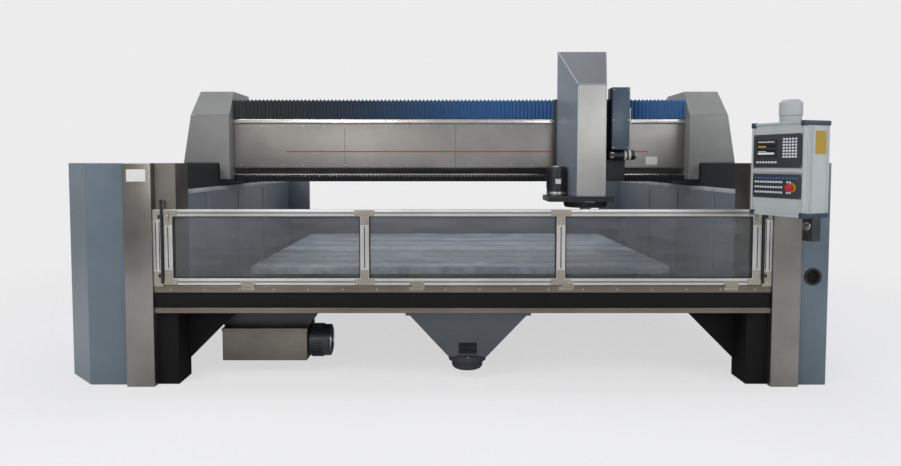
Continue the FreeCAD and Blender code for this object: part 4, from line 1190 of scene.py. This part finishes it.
    def dial(bm):
        rod(bm, (inverse.x, y, inverse.z + 0.02), (inverse.x, y - 0.012, inverse.z + 0.02), 0.028, 40)

    add("wheel_dial", "steel", dial, 0.002, 2)

    def crank(bm):
        rod(bm, (inverse.x + 0.016, y - 0.012, inverse.z + 0.03),
            (inverse.x + 0.016, y - 0.034, inverse.z + 0.03),
            0.006, 20, 0.008)
        for dx, dz in ((-0.018, -0.045), (0.018, -0.045)):
            rod(bm, (inverse.x + dx, y, inverse.z + dz), (inverse.x + dx, y - 0.012, inverse.z + dz), 0.009,
                24)

    add("wheel_knobs", "black", crank, 0.001, 2)
    screws = [(x, face_y - 0.0005, z) for x in (-0.182, 0.182) for z in (1.382, 1.523, 1.577, 1.778)]
    scatter("screw", "panel_corner_screws", screws, (0, -1, 0), "steel", "pendant", 0.0045,
            0.003,
            matrix=place)


# Stage, lamps and camera
EYE = Vector((0.021, -6.3503, 1.6))
LENS = 27.25
PITCH = math.radians(3.0)
SHIFT = (0.0083, -0.038)
BACKDROP = "#ececed"


def stage():
    """A pale floor that keeps the shadow, and a pale surround."""
    floor = bpy.data.meshes.new("floor")
    half = 60.0
    floor.from_pydata([(-half, -half, 0), (half, -half, 0), (half, half, 0), (-half, half, 0)], [],
                      [(0, 1, 2, 3)])
    ground = bpy.data.objects.new("floor", floor)
    bpy.context.scene.collection.objects.link(ground)
    material, tree, shader, where = blank("concrete pale sealed")
    cloud = put(tree, "ShaderNodeTexNoise", {"Vector": where, "Scale": 0.35, "Detail": 6.0})
    tone = ramp(tree, cloud.outputs["Fac"], [(0.3, "#ebebec"), (0.7, "#f5f5f5")])
    tree.links.new(tone, shader.inputs["Base Color"])
    shader.inputs["Roughness"].default_value = 0.75
    # The camera sees the floor brighten with distance until it matches the backdrop
    away = put(tree, "ShaderNodeVectorMath", {0: where}, operation="LENGTH")
    fade = put(tree, "ShaderNodeMapRange", {"Value": away.outputs["Value"], "From Min": 2.5, "From Max": 8.0,
                                            "To Min": 0.74}, interpolation_type="SMOOTHSTEP")
    rays = put(tree, "ShaderNodeLightPath")
    share = put(tree, "ShaderNodeMath", {0: fade.outputs["Result"], 1: rays.outputs["Is Camera Ray"]},
                operation="MULTIPLY")
    haze = put(tree, "ShaderNodeEmission", {"Color": linear(BACKDROP)})
    both = put(tree, "ShaderNodeMixShader", {0: share.outputs[0], 1: shader.outputs[0], 2: haze.outputs[0]})
    tree.links.new(both.outputs[0], tree.nodes["Material Output"].inputs["Surface"])
    floor.materials.append(material)

    world = bpy.data.worlds.new("pale studio")
    bpy.context.scene.world = world
    world.use_nodes = True
    tree = world.node_tree
    tree.nodes.clear()
    paths = put(tree, "ShaderNodeLightPath")
    clear = put(tree, "ShaderNodeMath",
                {0: paths.outputs["Is Camera Ray"], 1: paths.outputs["Is Transmission Ray"]},
                operation="MAXIMUM")
    shine = put(tree, "ShaderNodeMath", {0: paths.outputs["Is Glossy Ray"], 1: 0.45}, operation="MULTIPLY")
    seen = put(tree, "ShaderNodeMath", {0: clear.outputs[0], 1: shine.outputs[0]}, operation="MAXIMUM")
    # The walls of the room darken towards the floor, which gives the sheets their slow shading
    sky = put(tree, "ShaderNodeTexCoord").outputs["Generated"]
    height = put(tree, "ShaderNodeSeparateXYZ", {"Vector": sky}).outputs["Z"]
    room = ramp(tree, height, [(0.0, "#8f9092"), (0.10, "#a7a9ab"), (0.45, "#d6d8db")])
    light = put(tree, "ShaderNodeBackground", {"Color": room, "Strength": 0.54})
    pale = put(tree, "ShaderNodeBackground", {"Color": linear(BACKDROP), "Strength": 1.0})
    mixed = put(tree, "ShaderNodeMixShader", {0: seen.outputs[0], 1: light.outputs[0], 2: pale.outputs[0]})
    put(tree, "ShaderNodeOutputWorld", {"Surface": mixed.outputs[0]})


def lamp(name, place, target, size, power, colour="#ffffff"):
    """A soft rectangular lamp that looks at a point."""
    data = bpy.data.lights.new(name, "AREA")
    data.shape = "RECTANGLE"
    data.size, data.size_y = size
    data.energy = power
    data.color = linear(colour)[:3]
    made = bpy.data.objects.new(name, data)
    bpy.context.scene.collection.objects.link(made)
    made.location = place
    made.rotation_euler = (Vector(target) - Vector(place)).to_track_quat("-Z", "Y").to_euler()


def lights_and_camera():
    lamp("key", (-5.0, -6.5, 6.5), (0, 0, 1.0), (5.0, 3.0), 340)
    lamp("fill", (6.5, -5.5, 4.0), (0, 0, 1.0), (4.0, 3.0), 160, "#f3f6fb")
    lamp("top", (0, 1.0, 7.5), (0, 0.4, 0), (7.0, 4.0), 265, "#f6f8fc")
    # Two low windows behind the camera, which the brushed sheets mirror as soft patches
    lamp("left window", (-2.3, -7.4, 2.5), (-1.0, 0, 1.7), (1.3, 0.8), 45)
    lamp("right window", (3.0, -7.4, 2.3), (1.5, 0, 1.7), (0.9, 0.8), 30)
    data = bpy.data.cameras.new("camera")
    data.lens = LENS
    data.sensor_width = 36.0
    data.shift_x, data.shift_y = SHIFT
    camera = bpy.data.objects.new("camera", data)
    bpy.context.scene.collection.objects.link(camera)
    camera.location = EYE
    camera.rotation_euler = (math.pi / 2 - PITCH, 0, 0)
    bpy.context.scene.camera = camera
    bpy.context.scene.view_settings.view_transform = "Standard"


lights_and_camera()
stage()
bed_sheets()
wall_fittings()
wall_covers()
rear_fittings()
front_bar_details()
hopper_details()
pump_details()
table_planks()
all_bellows()
gate_details()
gantry_skins()
beam_details()
saddle_details()
head_shell()
head_foot()
control_box()
